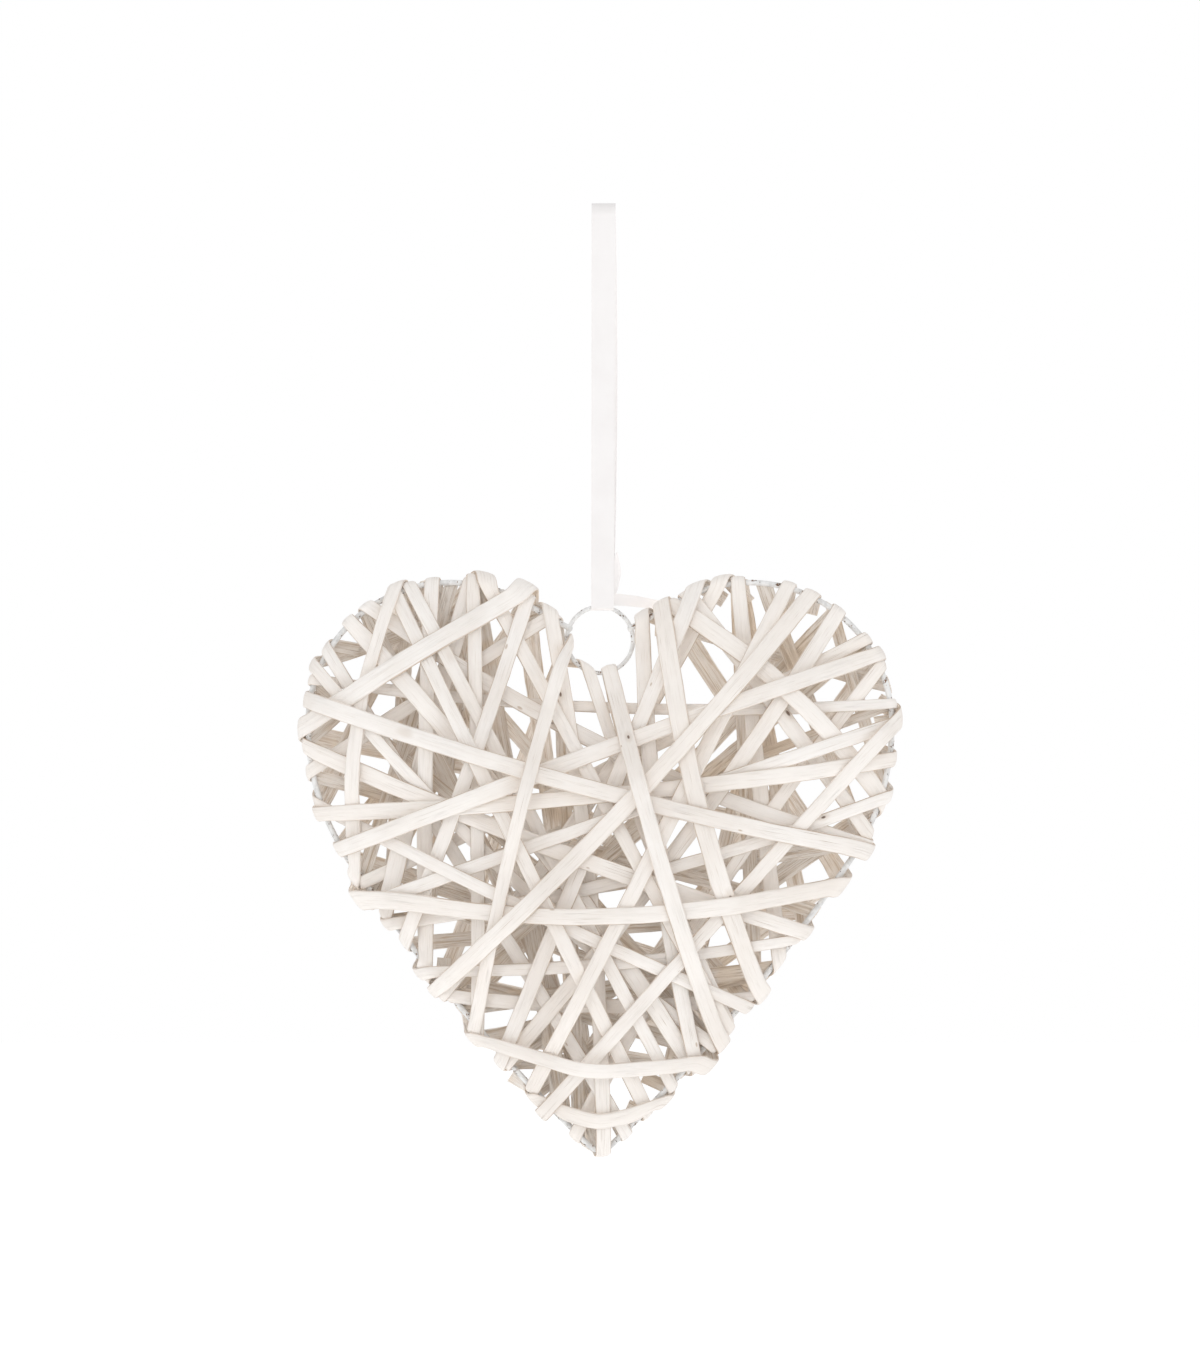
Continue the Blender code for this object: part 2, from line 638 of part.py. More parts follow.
def back_inward(front_inward, along, out):
    # a strip that comes off the wire keeps its run along the wire and turns back inward
    turned = -(front_inward @ along) * along - max(-(front_inward @ out), 0.25) * out
    return turned / np.linalg.norm(turned)


def wrap_sections(wrap, to_back):
    turns_made = np.linspace(wrap.turn_at(FRONT), wrap.turn_at(BACK), WRAP_PIECES + 1)
    if not to_back:
        turns_made = turns_made[::-1]
    return [wrap.section(turn) for turn in turns_made]


def strip_sections(back_start, first, second, order):
    width_a = first[3] * WINDING_UNIT
    width_b = second[3] * WINDING_UNIT
    ends = []
    for start, end, bow, width in (first, second):
        point_a = rim_point(start * rim_count)[0]
        point_b = rim_point(end * rim_count)[0]
        ahead = plan_path(point_a, point_b, bow * WINDING_UNIT, 0.08) - point_a
        behind = plan_path(point_a, point_b, bow * WINDING_UNIT, 0.92) - point_b
        ends.append((ahead / np.linalg.norm(ahead), behind / np.linalg.norm(behind)))
    # the strip's left edge lies to the outline's rear at the start of a span on the back
    wrap_1 = Wrap(first[0] * rim_count, ends[0][0], width_a, -1)
    place = back_start * rim_count
    inward = rim_point(wrap_1.contact(BACK))[0] - rim_point(place)[0]
    inward /= np.linalg.norm(inward)
    opening = Ending(place, inward, width_a, 1)
    sections = []
    back_a = lay_span(BACK, opening, wrap_1, 0, width_a, width_a, 1, order)
    opening.record_in_maps()
    sections.append(opening.cut_section())
    sections += back_a
    wrap_2 = Wrap(first[1] * rim_count, ends[0][1], (width_a + width_b) / 2, 1)
    front_a = lay_span(FRONT, wrap_1, wrap_2, first[2] * WINDING_UNIT, width_a, width_a, -1, order)
    wrap_1.record_in_maps()
    sections += wrap_sections(wrap_1, False)
    sections += front_a
    wrap_3 = Wrap(second[0] * rim_count, ends[1][0], (width_a + width_b) / 2, -1)
    later = order + 0.5 / len(WINDING)
    back_b = lay_span(BACK, wrap_2, wrap_3, 0, width_a, width_b, 1, later)
    wrap_2.record_in_maps()
    sections += wrap_sections(wrap_2, True)
    sections += back_b
    wrap_4 = Wrap(second[1] * rim_count, ends[1][1], width_b, 1)
    front_b = lay_span(FRONT, wrap_3, wrap_4, second[2] * WINDING_UNIT, width_b, width_b, -1, later)
    wrap_3.record_in_maps()
    sections += wrap_sections(wrap_3, False)
    sections += front_b
    tail = lay_tail(wrap_4, width_b)
    wrap_4.record_in_maps()
    sections += wrap_sections(wrap_4, True)
    sections += tail
    return sections


def finish_mesh(name, mesh_maker, material):
    mesh = bpy.data.meshes.new(name)
    made = bmesh.new()
    mesh_maker(made)
    bmesh.ops.recalc_face_normals(made, faces=made.faces)
    if made.calc_volume(signed=True) < 0:
        bmesh.ops.reverse_faces(made, faces=made.faces)
    made.to_mesh(mesh)
    made.free()
    piece = bpy.data.objects.new(name, mesh)
    bpy.context.collection.objects.link(piece)
    mesh.materials.append(material)
    return piece


def loft(made, sections, closed=False):
    rings = [[made.verts.new(corner) for corner in section] for section in sections]
    pairs = list(zip(rings, rings[1:]))
    if closed:
        pairs.append((rings[-1], rings[0]))
    for near, far in pairs:
        for index in range(len(near)):
            follow = (index + 1) % len(near)
            made.faces.new([near[index], near[follow], far[follow], far[index]])
    if not closed:
        made.faces.new(rings[0])
        made.faces.new(rings[-1])


def material(name, colour, roughness, metallic=0.0):
    made = bpy.data.materials.new(name)
    made.use_nodes = True
    shader = made.node_tree.nodes["Principled BSDF"]
    shader.inputs["Base Color"].default_value = (*colour, 1)
    shader.inputs["Roughness"].default_value = roughness
    shader.inputs["Metallic"].default_value = metallic
    return made


def clear_scene():
    for found in list(bpy.data.objects):
        bpy.data.objects.remove(found, do_unlink=True)


def make_wire(finish):
    half = right_half(WIRE_PIECE, TIP_PIECE)
    first = half[0]
    heading = (half[1] - first) / np.linalg.norm(half[1] - first)
    clear = RING_WIRE / 2 + GAP + WELD_SPARE
    half[0] = first + heading * clear
    left = half * np.array([-1, 1])
    points = np.vstack([left, half[::-1][1:]])
    curve = bpy.data.curves.new("heart_wire", "CURVE")
    curve.dimensions = "3D"
    curve.bevel_depth = WIRE_DIAMETER / 2
    curve.bevel_resolution = 2
    curve.use_fill_caps = True
    spline = curve.splines.new("POLY")
    spline.points.add(len(points) - 1)
    for target, point in zip(spline.points, points):
        target.co = (point[0], 0, point[1], 1)
    curve.materials.append(finish)
    wire = bpy.data.objects.new("heart_wire", curve)
    bpy.context.collection.objects.link(wire)
    return wire


def make_ring(finish):
    bpy.ops.mesh.primitive_torus_add(
        major_radius=RING_DIAMETER / 2,
        minor_radius=RING_WIRE / 2,
        major_segments=32,
        minor_segments=8,
        location=(RING_CENTRE[0], 0, RING_CENTRE[1]),
        rotation=(math.pi / 2, 0, 0),
    )
    ring = bpy.context.object
    ring.name = "hanging_ring"
    ring.data.materials.append(finish)
    ring.data.shade_smooth()
    return ring


def band(made, path, widths, thickness, across, closed=False):
    # a flat band along a path of (x, y, z) points, its width lying along across
    path = np.array(path)
    sections = []
    for index, point in enumerate(path):
        before = path[index - 1] if closed or index else path[0]
        after = path[(index + 1) % len(path)] if closed or index < len(path) - 1 else path[-1]
        heading = (after - before) / np.linalg.norm(after - before)
        side = across - (across @ heading) * heading
        side *= widths[index] / 2 / np.linalg.norm(side)
        up = np.cross(heading, side)
        up *= thickness / 2 / np.linalg.norm(up)
        sections.append([point - side - up, point + side - up, point + side + up, point - side + up])
    loft(made, sections, closed)


def loop_path():
    # down the front, round the ring's top and up the back, as a belt round two circles
    edge = RIBBON_WIDTH_AT_RING / 2 + RING_SWAY
    outer = RING_DIAMETER / 2 + RING_WIRE / 2
    sag = outer - math.sqrt(outer ** 2 - edge ** 2)
    top_radius = LOOP_TOP_RADIUS + RIBBON_THICKNESS / 2
    foot_radius = RING_WIRE / 2 + GAP + sag + RIBBON_THICKNESS / 2
    top = -LOOP_TOP_RADIUS
    foot = -LOOP_DROP
    lean = math.asin((top_radius - foot_radius) / (top - foot))
    points = []
    for turn in np.linspace(-lean, math.pi + lean, 11):
        points.append((0, -top_radius * math.cos(turn), top + top_radius * math.sin(turn)))
    for turn in np.linspace(math.pi + lean, 2 * math.pi - lean, 9):
        points.append((0, -foot_radius * math.cos(turn), foot + foot_radius * math.sin(turn)))
    path = []
    widths = []
    for index, point in enumerate(points):
        path.append(point)
        follow = points[(index + 1) % len(points)]
        if abs(follow[2] - point[2]) > LOOP_DROP / 2:
            for share in (0.25, 0.5, 0.75):
                path.append(tuple(np.array(point) * (1 - share) + np.array(follow) * share))
    for index, (x, y, z) in enumerate(path):
        down = min(max(z / foot, 0), 1)
        widths.append(RIBBON_WIDTH + (RIBBON_WIDTH_AT_RING - RIBBON_WIDTH) * down)
        path[index] = (LOOP_SWAY + (RING_SWAY - LOOP_SWAY) * down, y, z)
    return path, widths


def helper(name, mesh_maker, finish):
    piece = finish_mesh(name, mesh_maker, finish)
    piece.hide_render = True
    piece.display_type = "WIRE"
    return piece


def make_ribbon(finish):
    path, widths = loop_path()
    sideways = np.array([1.0, 0, 0])

    def loop_shape(made):
        band(made, path, widths, RIBBON_THICKNESS, sideways, True)

    ribbon = finish_mesh("ribbon", loop_shape, finish)
    knot_foot = -LOOP_DROP + RING_WIRE / 2 + GAP
    knot = np.array([RING_SWAY, KNOT_SETBACK, knot_foot + KNOT_HEIGHT / 2])
    short = [knot + np.array(step) for step in SHORT_TAIL_ROUTE]
    long = [knot + np.array(step) for step in LONG_TAIL_ROUTE]
    upright = np.array([0, 0, 1.0])

    def knot_shape(made):
        bmesh.ops.create_cube(made, size=1)
        bmesh.ops.scale(made, vec=(KNOT_WIDTH, KNOT_DEPTH, KNOT_HEIGHT), verts=made.verts)
        bmesh.ops.bevel(made, geom=made.edges[:], offset=KNOT_BEVEL, segments=2, affect="EDGES")
        bmesh.ops.translate(made, vec=knot, verts=made.verts)

    def short_tail(made):
        band(made, short, [SHORT_TAIL_WIDTH] * len(short), RIBBON_THICKNESS, sideways)

    def long_tail(made):
        band(made, long, [TAIL_WIDTH] * len(long), RIBBON_THICKNESS, upright)

    parts = [
        helper("knot_shape", knot_shape, finish),
        helper("short_tail_shape", short_tail, finish),
        helper("long_tail_shape", long_tail, finish),
    ]
    for part in parts:
        union = ribbon.modifiers.new(part.name, "BOOLEAN")
        union.operation = "UNION"
        union.object = part
        union.use_self = True
    return ribbon


def main():
    clear_scene()
    willow = material("whitewashed_willow", (0.84, 0.79, 0.74), 0.62)
    steel = material("white_painted_wire", (0.80, 0.78, 0.75), 0.45, 0.2)
    satin = material("satin_ribbon", (0.93, 0.90, 0.89), 0.35)
    make_wire(steel)
    make_ring(steel)
    make_ribbon(satin)
    for number, (back_start, first, second) in enumerate(WINDING, 1):
        sections = strip_sections(back_start, first, second, (number - 1) / len(WINDING))
        finish_mesh(f"willow_strip_{number:02d}", lambda made: loft(made, sections), willow)


main()
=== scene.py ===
import math

import bmesh
import bpy
import numpy as np
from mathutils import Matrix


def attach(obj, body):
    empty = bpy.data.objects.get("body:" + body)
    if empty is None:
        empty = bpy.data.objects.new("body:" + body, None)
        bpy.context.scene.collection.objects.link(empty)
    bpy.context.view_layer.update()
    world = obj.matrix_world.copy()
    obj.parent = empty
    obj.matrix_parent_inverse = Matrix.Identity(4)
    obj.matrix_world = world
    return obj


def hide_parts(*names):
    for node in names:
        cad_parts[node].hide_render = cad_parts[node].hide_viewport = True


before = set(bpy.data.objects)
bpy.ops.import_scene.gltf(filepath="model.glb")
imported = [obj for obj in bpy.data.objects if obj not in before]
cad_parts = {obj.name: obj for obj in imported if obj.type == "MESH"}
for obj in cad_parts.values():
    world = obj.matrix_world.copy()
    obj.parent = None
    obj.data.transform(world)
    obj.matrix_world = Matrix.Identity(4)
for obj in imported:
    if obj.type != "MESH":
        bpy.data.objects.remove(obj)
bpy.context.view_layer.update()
front = 1
back = -1


def unit(vector):
    return vector / np.linalg.norm(vector)


def unitRows(vectors):
    return vectors / np.linalg.norm(vectors, axis=1)[:, None]


# Shading effects that the materials share
class Shading:
    # adds nodes to one node tree; an input is fed with another node's socket or with a plain value
    def __init__(self, tree):
        self.tree = tree

    def feed(self, sockets, values):
        for name, value in values.items():
            if isinstance(value, bpy.types.NodeSocket):
                self.tree.links.new(value, sockets[name])
            else:
                sockets[name].default_value = value

    def node(self, kind, values=None, **settings):
        made = self.tree.nodes.new("ShaderNode" + kind)
        for key, value in settings.items():
            setattr(made, key, value)
        self.feed(made.inputs, values or {})
        return made.outputs

    def maths(self, operation, first, second=0.0):
        return self.node("Math", {0: first, 1: second}, operation=operation)[0]

    def times(self, first, second):
        return self.maths("MULTIPLY", first, second)

    def spread(self, value, low, high, least=0.0, most=1.0, way="SMOOTHSTEP"):
        values = {"Value": value, "From Min": low, "From Max": high, "To Min": least, "To Max": most}
        return self.node("MapRange", values, interpolation_type=way)["Result"]

    def blend(self, share, first, second):
        return self.node("Mix", {0: share, 6: first, 7: second}, data_type="RGBA")[2]

    def layered(self, look, ground, layers):
        # colours of a look laid on its ground one after the other, each with a share of its own
        colour = look[ground]
        for share, name in layers:
            colour = self.blend(share, colour, look[name])
        return colour

    def noise(self, vector, scale, detail, roughness, distortion=0.0):
        values = {"Vector": vector, "Scale": scale, "Detail": detail}
        values.update({"Roughness": roughness, "Distortion": distortion})
        return self.node("TexNoise", values)["Fac"]

    def stretched(self, vector, scale):
        return self.node("Mapping", {"Vector": vector, "Scale": scale})["Vector"]

    def group(self, tree, **values):
        return self.node("Group", values, node_tree=tree)

    def bumped(self, height, strength, distance):
        values = {"Height": height, "Strength": strength, "Distance": distance}
        return self.node("Bump", values)["Normal"]


def newFinish(name):
    finish = bpy.data.materials.new(name)
    finish.use_nodes = True
    shader = finish.node_tree.nodes["Principled BSDF"]
    return finish, Shading(finish.node_tree), shader.inputs


def newGroup(name, inputs, outputs):
    # a group whose first input is the place, with plain numbers for the others
    group = bpy.data.node_groups.new(name, "ShaderNodeTree")
    group.interface.new_socket(name="Place", in_out="INPUT", socket_type="NodeSocketVector")
    for way, labels in (("INPUT", inputs), ("OUTPUT", outputs)):
        for label in labels:
            group.interface.new_socket(name=label, in_out=way, socket_type="NodeSocketFloat")
    start = group.nodes.new("NodeGroupInput")
    end = group.nodes.new("NodeGroupOutput")
    return Shading(group), start.outputs, end.inputs


def buildFibreGroup():
    # long fibres that run the strip's way; Place is (across, along, 0) in decimetres
    group, start, end = newGroup("splitFibres", (), ("Fine", "Broad", "Cracks"))
    sizes = ((260, 7, 1), (70, 2.2, 1), (420, 5, 1))
    fine, broad, thin = (group.stretched(start["Place"], size) for size in sizes)
    group.feed(end, {
        "Fine": group.noise(fine, 1.0, 4.0, 0.6, 0.15),
        "Broad": group.noise(broad, 1.0, 3.0, 0.55, 0.3),
        "Cracks": group.spread(group.noise(thin, 1.0, 2.0, 0.5, 0.1), 0.62, 0.74),
    })
    return group.tree


def buildSpeckGroup():
    # small round or oval specks, with some cells left empty
    group, start, end = newGroup("smallSpecks", ("Scale", "Size", "Share"), ("Speck", "Halo"))
    cells = group.node("TexVoronoi", {"Vector": start["Place"], "Scale": start["Scale"]})
    chance = group.node("SeparateColor", {0: cells["Color"]})
    chosen = group.maths("LESS_THAN", chance[0], start["Share"])
    size = group.times(start["Size"], group.maths("ADD", chance[1], 0.4))
    speck = group.spread(cells["Distance"], group.times(size, 0.45), size, 1.0, 0.0)
    halo = group.spread(cells["Distance"], size, group.times(size, 3.0), 1.0, 0.0)
    group.feed(end, {"Speck": group.times(speck, chosen), "Halo": group.times(halo, chosen)})
    return group.tree


def buildChipGroup():
    # where thin paint has gone: Wear raises the share that is bare
    group, start, end = newGroup("thinPaintWear", ("Scale", "Wear"), ("Bare", "Mottle"))
    patches = group.noise(start["Place"], start["Scale"], 5.0, 0.65)
    fine = group.noise(start["Place"], group.times(start["Scale"], 5.0), 3.0, 0.6)
    mixed = group.maths("ADD", group.times(patches, 0.75), group.times(fine, 0.25))
    edge = group.maths("SUBTRACT", 0.72, group.times(start["Wear"], 0.34))
    bare = group.spread(mixed, edge, group.maths("ADD", edge, 0.035))
    group.feed(end, {"Bare": bare, "Mottle": fine})
    return group.tree


# Camera, lights and floor
view = {
    "distance": 2.6,
    "middleHeight": -0.2008,
    "frameHeight": 0.5717,
    "sensor": 36.0,
    # each light's place, its size across and its power
    "lights": {
        "keyLight": ((-0.60, -2.3, 0.45), 0.45, 5.1),
        "fillLight": ((1.7, -1.8, 0.2), 1.2, 1.0),
        "topLight": ((0.2, -0.2, 1.7), 1.0, 1.0),
        "backLight": ((0, 2.3, 0.1), 2.4, 4.0),
    },
    "aimHeight": -0.28,
    "roomLight": 0.82,
    "bouncedLight": 2.45,  # pale walls near by would send more light into the hollow
    "floorSize": 14,
    "floorHeight": -0.75,
    "floorTone": 0.60,
    "floorRoughness": 0.9,
    "floorGlow": 0.52,  # seen by the camera alone
}


def placed(name, data):
    made = bpy.data.objects.new(name, data)
    bpy.context.collection.objects.link(made)
    return made


def addCamera():
    data = bpy.data.cameras.new("camera")
    data.sensor_width = view["sensor"]
    data.lens = view["sensor"] * view["distance"] / view["frameHeight"]
    camera = placed("camera", data)
    camera.location = (0, -view["distance"], view["middleHeight"])
    camera.rotation_euler = (math.pi / 2, 0, 0)
    bpy.context.scene.camera = camera


def addLight(name, place, size, power):
    data = bpy.data.lights.new(name, "AREA")
    data.shape = "DISK"
    data.size = size
    data.energy = power
    lamp = placed(name, data)
    lamp.location = place
    aim = unit(np.array([0, 0, view["aimHeight"]]) - np.array(place))
    turn = math.atan2(-aim[0], aim[1])
    tip = math.acos(max(-1, min(1, -aim[2])))
    lamp.rotation_euler = (tip, 0, turn)


def addRoom():
    world = bpy.data.worlds.new("room")
    world.use_nodes = True
    room = Shading(world.node_tree)
    seen = room.node("LightPath")
    level = room.spread(seen["Is Camera Ray"], 0.0, 1.0, view["roomLight"], 1.0, "LINEAR")
    bounced = room.spread(seen["Diffuse Depth"], 1.0, 2.0, 1.0, view["bouncedLight"], "LINEAR")
    ground = world.node_tree.nodes["Background"].inputs
    room.feed(ground, {"Color": (1, 1, 1, 1), "Strength": room.times(level, bounced)})
    bpy.context.scene.world = world
    bpy.context.scene.view_settings.view_transform = "Standard"


def addFloor():
    bpy.ops.object.select_all(action="DESELECT")
    bpy.ops.mesh.primitive_plane_add(size=view["floorSize"], location=(0, 0, view["floorHeight"]))
    floor = bpy.context.object
    floor.name = "floor"
    finish, paint, shader = newFinish("palePaint")
    seen = paint.node("LightPath")["Is Camera Ray"]
    paint.feed(shader, {
        "Base Color": (view["floorTone"], view["floorTone"], view["floorTone"], 1),
        "Roughness": view["floorRoughness"],
        "Emission Color": (1, 1, 1, 1),
        "Emission Strength": paint.spread(seen, 0.0, 1.0, 0.0, view["floorGlow"], "LINEAR"),
    })
    floor.data.materials.append(finish)


addCamera()
for name, (place, size, power) in view["lights"].items():
    addLight(name, place, size, power)
addRoom()
addFloor()
print("camera, lights and floor are ready")


# Materials
willowFinish = {
    "wash": (0.902, 0.868, 0.835, 1),
    "washShade": (0.820, 0.768, 0.720, 1),
    "washWarm": (0.890, 0.832, 0.775, 1),
    "fibre": (0.56, 0.46, 0.37, 1),
    # bare wood on cracks, pores and edges; along the strip edges it also serves as painted contact shade
    "bareWood": (0.46, 0.34, 0.24, 1),
    "innerWood": (0.905, 0.855, 0.798, 1),
    "innerWarm": (0.80, 0.67, 0.53, 1),
    "innerDark": (0.57, 0.455, 0.345, 1),
    "knot": (0.14, 0.085, 0.055, 1),
    "roughness": 0.62,
    "shine": 0.32,
    "relief": 0.00030,
}
wireFinish = {
    "paint": (0.81, 0.81, 0.805, 1),
    "paintShade": (0.62, 0.615, 0.605, 1),
    "bare": (0.17, 0.14, 0.12, 1),
    "rust": (0.30, 0.17, 0.10, 1),
    "wear": 0.42,
    "broadWear": 0.35,
    "relief": 0.00012,
}
satinFinish = {
    "light": (0.872, 0.853, 0.848, 1),
    "shade": (0.845, 0.822, 0.816, 1),
    "threads": 0.00016,
    "sheen": 0.25,
    "sheenRoughness": 0.4,
    "relief": 0.00004,
}


def makeWillow(fibreGroup, speckGroup):
    look = willowFinish
    finish, paint, shader = newFinish("whitewashedWillow")
    uv = paint.node("UVMap", uv_map="fibreWay")["UV"]
    kinds = ("faceKind", "edgeNearness", "stripTone")
    side, edge, tone = (paint.node("Attribute", attribute_name=kind)["Fac"] for kind in kinds)
    place = paint.node("TexCoord")["Object"]
    fibres = paint.group(fibreGroup, Place=uv)
    oval = paint.stretched(uv, (1.0, 0.55, 1))
    knots = paint.group(speckGroup, Place=oval, Scale=5.0, Size=0.040, Share=0.38)
    narrow = paint.stretched(uv, (1.0, 0.4, 1))
    pores = paint.group(speckGroup, Place=narrow, Scale=17.0, Size=0.085, Share=0.42)
    patches = paint.noise(place, 26.0, 4.0, 0.6)
    bareness = paint.noise(place, 42.0, 3.0, 0.6)
    blotch = paint.noise(paint.stretched(uv, (9, 1.6, 1)), 1.0, 3.0, 0.6)
    # bare wood along the strip edges, in blotches: partly real edge wear, partly painted shade that
    # stands in for the dark lines where strips touch
    edgeWearAndShade = paint.times(paint.spread(edge, 0.86, 0.99), paint.spread(blotch, 0.42, 0.60, 0.22, 0.85))
    crack = paint.times(fibres["Cracks"], paint.spread(blotch, 0.48, 0.62, 0.03, 0.75))
    wash = paint.layered(look, "wash", (
        (paint.spread(patches, 0.35, 0.70), "washShade"),
        (paint.times(tone, 0.75), "washWarm"),
        (paint.spread(fibres["Broad"], 0.48, 0.72, 0.0, 0.45), "washShade"),
        (paint.spread(fibres["Fine"], 0.54, 0.74, 0.0, 0.34), "fibre"),
        # strip edges: edge wear and painted contact shade
        (edgeWearAndShade, "bareWood"),
        (crack, "bareWood"),
        (paint.times(knots["Halo"], 0.35), "fibre"),
        (paint.times(knots["Speck"], 0.9), "knot"),
        (paint.times(pores["Speck"], 0.65), "bareWood"),
    ))
    raw = paint.layered(look, "innerWood", (
        (paint.spread(blotch, 0.36, 0.62, 0.05, 0.55), "washShade"),
        (paint.spread(bareness, 0.50, 0.68, 0.0, 0.65), "innerWarm"),
        (paint.spread(fibres["Broad"], 0.46, 0.72, 0.0, 0.85), "innerDark"),
        (paint.spread(fibres["Fine"], 0.52, 0.64, 0.0, 0.75), "innerDark"),
        (paint.times(fibres["Cracks"], 0.9), "bareWood"),
        (paint.times(knots["Halo"], 0.6), "bareWood"),
        (knots["Speck"], "knot"),
    ))
    height = paint.maths("ADD", fibres["Fine"], paint.times(fibres["Broad"], 0.9))
    height = paint.maths("SUBTRACT", height, paint.times(fibres["Cracks"], 0.5))
    height = paint.times(height, paint.spread(side, 0.2, 0.4, 1.0, 2.4))
    rough = look["roughness"]
    paint.feed(shader, {
        "Base Color": paint.blend(paint.spread(side, 0.2, 0.4), wash, raw),
        "Roughness": paint.spread(fibres["Broad"], 0.3, 0.75, rough - 0.10, rough + 0.14),
        "Specular IOR Level": look["shine"],
        "Normal": paint.bumped(height, 0.75, look["relief"]),
    })
    return finish


def makeWirePaint(chipGroup, speckGroup):
    look = wireFinish
    finish, paint, shader = newFinish("chippedWhitePaint")
    place = paint.node("TexCoord")["Object"]
    chips = paint.group(chipGroup, Place=place, Scale=260.0, Wear=look["wear"])
    broad = paint.group(chipGroup, Place=place, Scale=38.0, Wear=look["broadWear"])
    spots = paint.group(speckGroup, Place=place, Scale=620.0, Size=0.30, Share=0.32)
    dirt = paint.noise(place, 320.0, 3.0, 0.6)
    coat = paint.blend(paint.spread(dirt, 0.35, 0.7), look["paint"], look["paintShade"])
    metal = paint.blend(paint.spread(chips["Mottle"], 0.45, 0.62), look["bare"], look["rust"])
    bare = paint.maths("MAXIMUM", chips["Bare"], paint.times(broad["Bare"], 0.7))
    bare = paint.maths("MAXIMUM", bare, spots["Speck"])
    height = paint.maths("SUBTRACT", paint.times(dirt, 0.5), bare)
    paint.feed(shader, {
        "Base Color": paint.blend(bare, coat, metal),
        "Roughness": paint.spread(bare, 0.0, 1.0, 0.48, 0.72),
        "Metallic": paint.times(bare, 0.55),
        "Normal": paint.bumped(height, 0.6, look["relief"]),
    })
    return finish


def makeSatin():
    look = satinFinish
    finish, paint, shader = newFinish("whiteSatin")
    uv = paint.node("UVMap", uv_map="bandWay")["UV"]
    place = paint.node("TexCoord")["Object"]
    split = paint.node("SeparateXYZ", {0: uv})
    weave = 0.2 * math.pi / look["threads"]
    weft, warp = (paint.maths("SINE", paint.times(split[way], weave)) for way in ("Y", "X"))
    cloudy = paint.noise(place, 60.0, 3.0, 0.55)
    slub = paint.noise(paint.stretched(uv, (3, 160, 1)), 1.0, 3.0, 0.6)
    colour = paint.layered(look, "light", (
        (paint.spread(cloudy, 0.35, 0.7, 0.0, 0.8), "shade"),
        (paint.spread(slub, 0.55, 0.8, 0.0, 0.35), "shade"),
    ))
    height = paint.maths("ADD", paint.times(weft, 0.5), paint.times(warp, 0.3))
    paint.feed(shader, {
        "Base Color": colour,
        "Roughness": paint.spread(slub, 0.3, 0.75, 0.34, 0.5),
        "Sheen Weight": look["sheen"],
        "Sheen Roughness": look["sheenRoughness"],
        "Normal": paint.bumped(height, 0.3, look["relief"]),
    })
    return finish


specks = buildSpeckGroup()
willowMaterial = makeWillow(buildFibreGroup(), specks)
wireMaterial = makeWirePaint(buildChipGroup(), specks)
satinMaterial = makeSatin()
print("materials are ready")


# How the heart is wound
heartWire = {
    "lobeRadius": 0.0594,
    "lobeSpacing": 0.1246,
    "shoulderRadius": 0.1000,
    "sideTurn": math.radians(6.08),
    "tipDrop": 0.1794,
    "tipBend": 0.0060,
    "wireDiameter": 0.0024,
    "jointTurn": math.radians(21),
    "jointStraight": 0.02344,
}
hangingRing = {
    "ringDiameter": 0.0276,
    "ringWire": 0.0018,
}
ribbonLoop = {
    "loopDrop": 0.1678,  # from the hook to the ring's top
    "width": 0.0100,
    "widthAtRing": 0.0094,
    "thickness": 0.0004,
    "topRadius": 0.0050,
    "sway": (0.0015, 0.0010),  # to the right at the top and at the ring
    "rearShift": 0.0011,  # how far the rear run stands out to the right of the front one
    "cutLength": 0.43,
}
willow = {
    "stripThickness": 0.0013,
    "wrapThickness": 0.0011,
    "crownShare": 0.55,
    "wrapNarrowing": 0.80,
    "tailLengths": (0.011, 0.009, 0.007),
    "tailTurns": (0.0, 0.25, -0.25, 0.5, -0.5, 0.75, -0.75),
    "tailThickening": 1.1,
    "cutEndReach": 0.0010,
    "widestLean": 1.4,
    "puffDepth": 0.014,
    "puffReach": 0.080,
}

# how the strips lie on the wire and on each other, as in the frame's solids
laying = {
    "gap": 0.0003,
    "firstLift": 0.45,
    "liftLimits": (0.2, 1.1),
    "cellSpread": 0.71,
    "mapMargin": 0.012,
    "shiftRadius": 0.0022,
    "typicalRadius": 0.003,
    "topSpare": 1.08,
    "tailTop": 1.25,
    "layGap": 0.00036,
    "cell": 0.0005,
    "rimStep": 0.0005,
    "coarseStep": 4,
    "lobeStep": 0.0010,
    "rimBand": 0.0100,
    "bandSpare": 1.1,
    "seamSpare": 0.0002,
    "turnSpare": 0.3,
    "liftSpare": 0.25,
    "openTurn": 0.6,
    "endTurnShare": 0.55,
    "leastSlant": 0.25,
    "leastSine": 0.3,
    "twistShare": 0.25,
    "riseRun": 0.030,
    "ease": 0.009,
    "easeShare": 0.2,
    "aimShare": 0.08,
    "spanPiece": 0.032,
    "spread": 0.010,
    "stiffness": 0.4,
    "mostShift": 0.006,
    "nudges": (0.0, 0.001, -0.001, 0.002, -0.002, 0.003, -0.003, 0.004, -0.004),
    "seatShare": 0.18,
    "rimWeight": 8,
    "nudgeWeight": 1.5,
    "turnWeight": 0.005,
    "tailSeat": 0.15,
    "mostRaise": 0.012,
    "raiseStep": 0.0004,
    "wrapPieces": 4,
    "wrapRows": 13,
    "jointClearance": 0.0022,
    "windingUnit": 0.001,
    "attempts": 3,
    "sweeps": 60,
    "settlings": 4,
    "halvings": 50,
    "closeEnough": 1e-6,
    "leastShare": 0.02,
    "leastWidth": 1e-5,
    "leastTotal": 0.2,
    "mostAcross": 1.2,
}

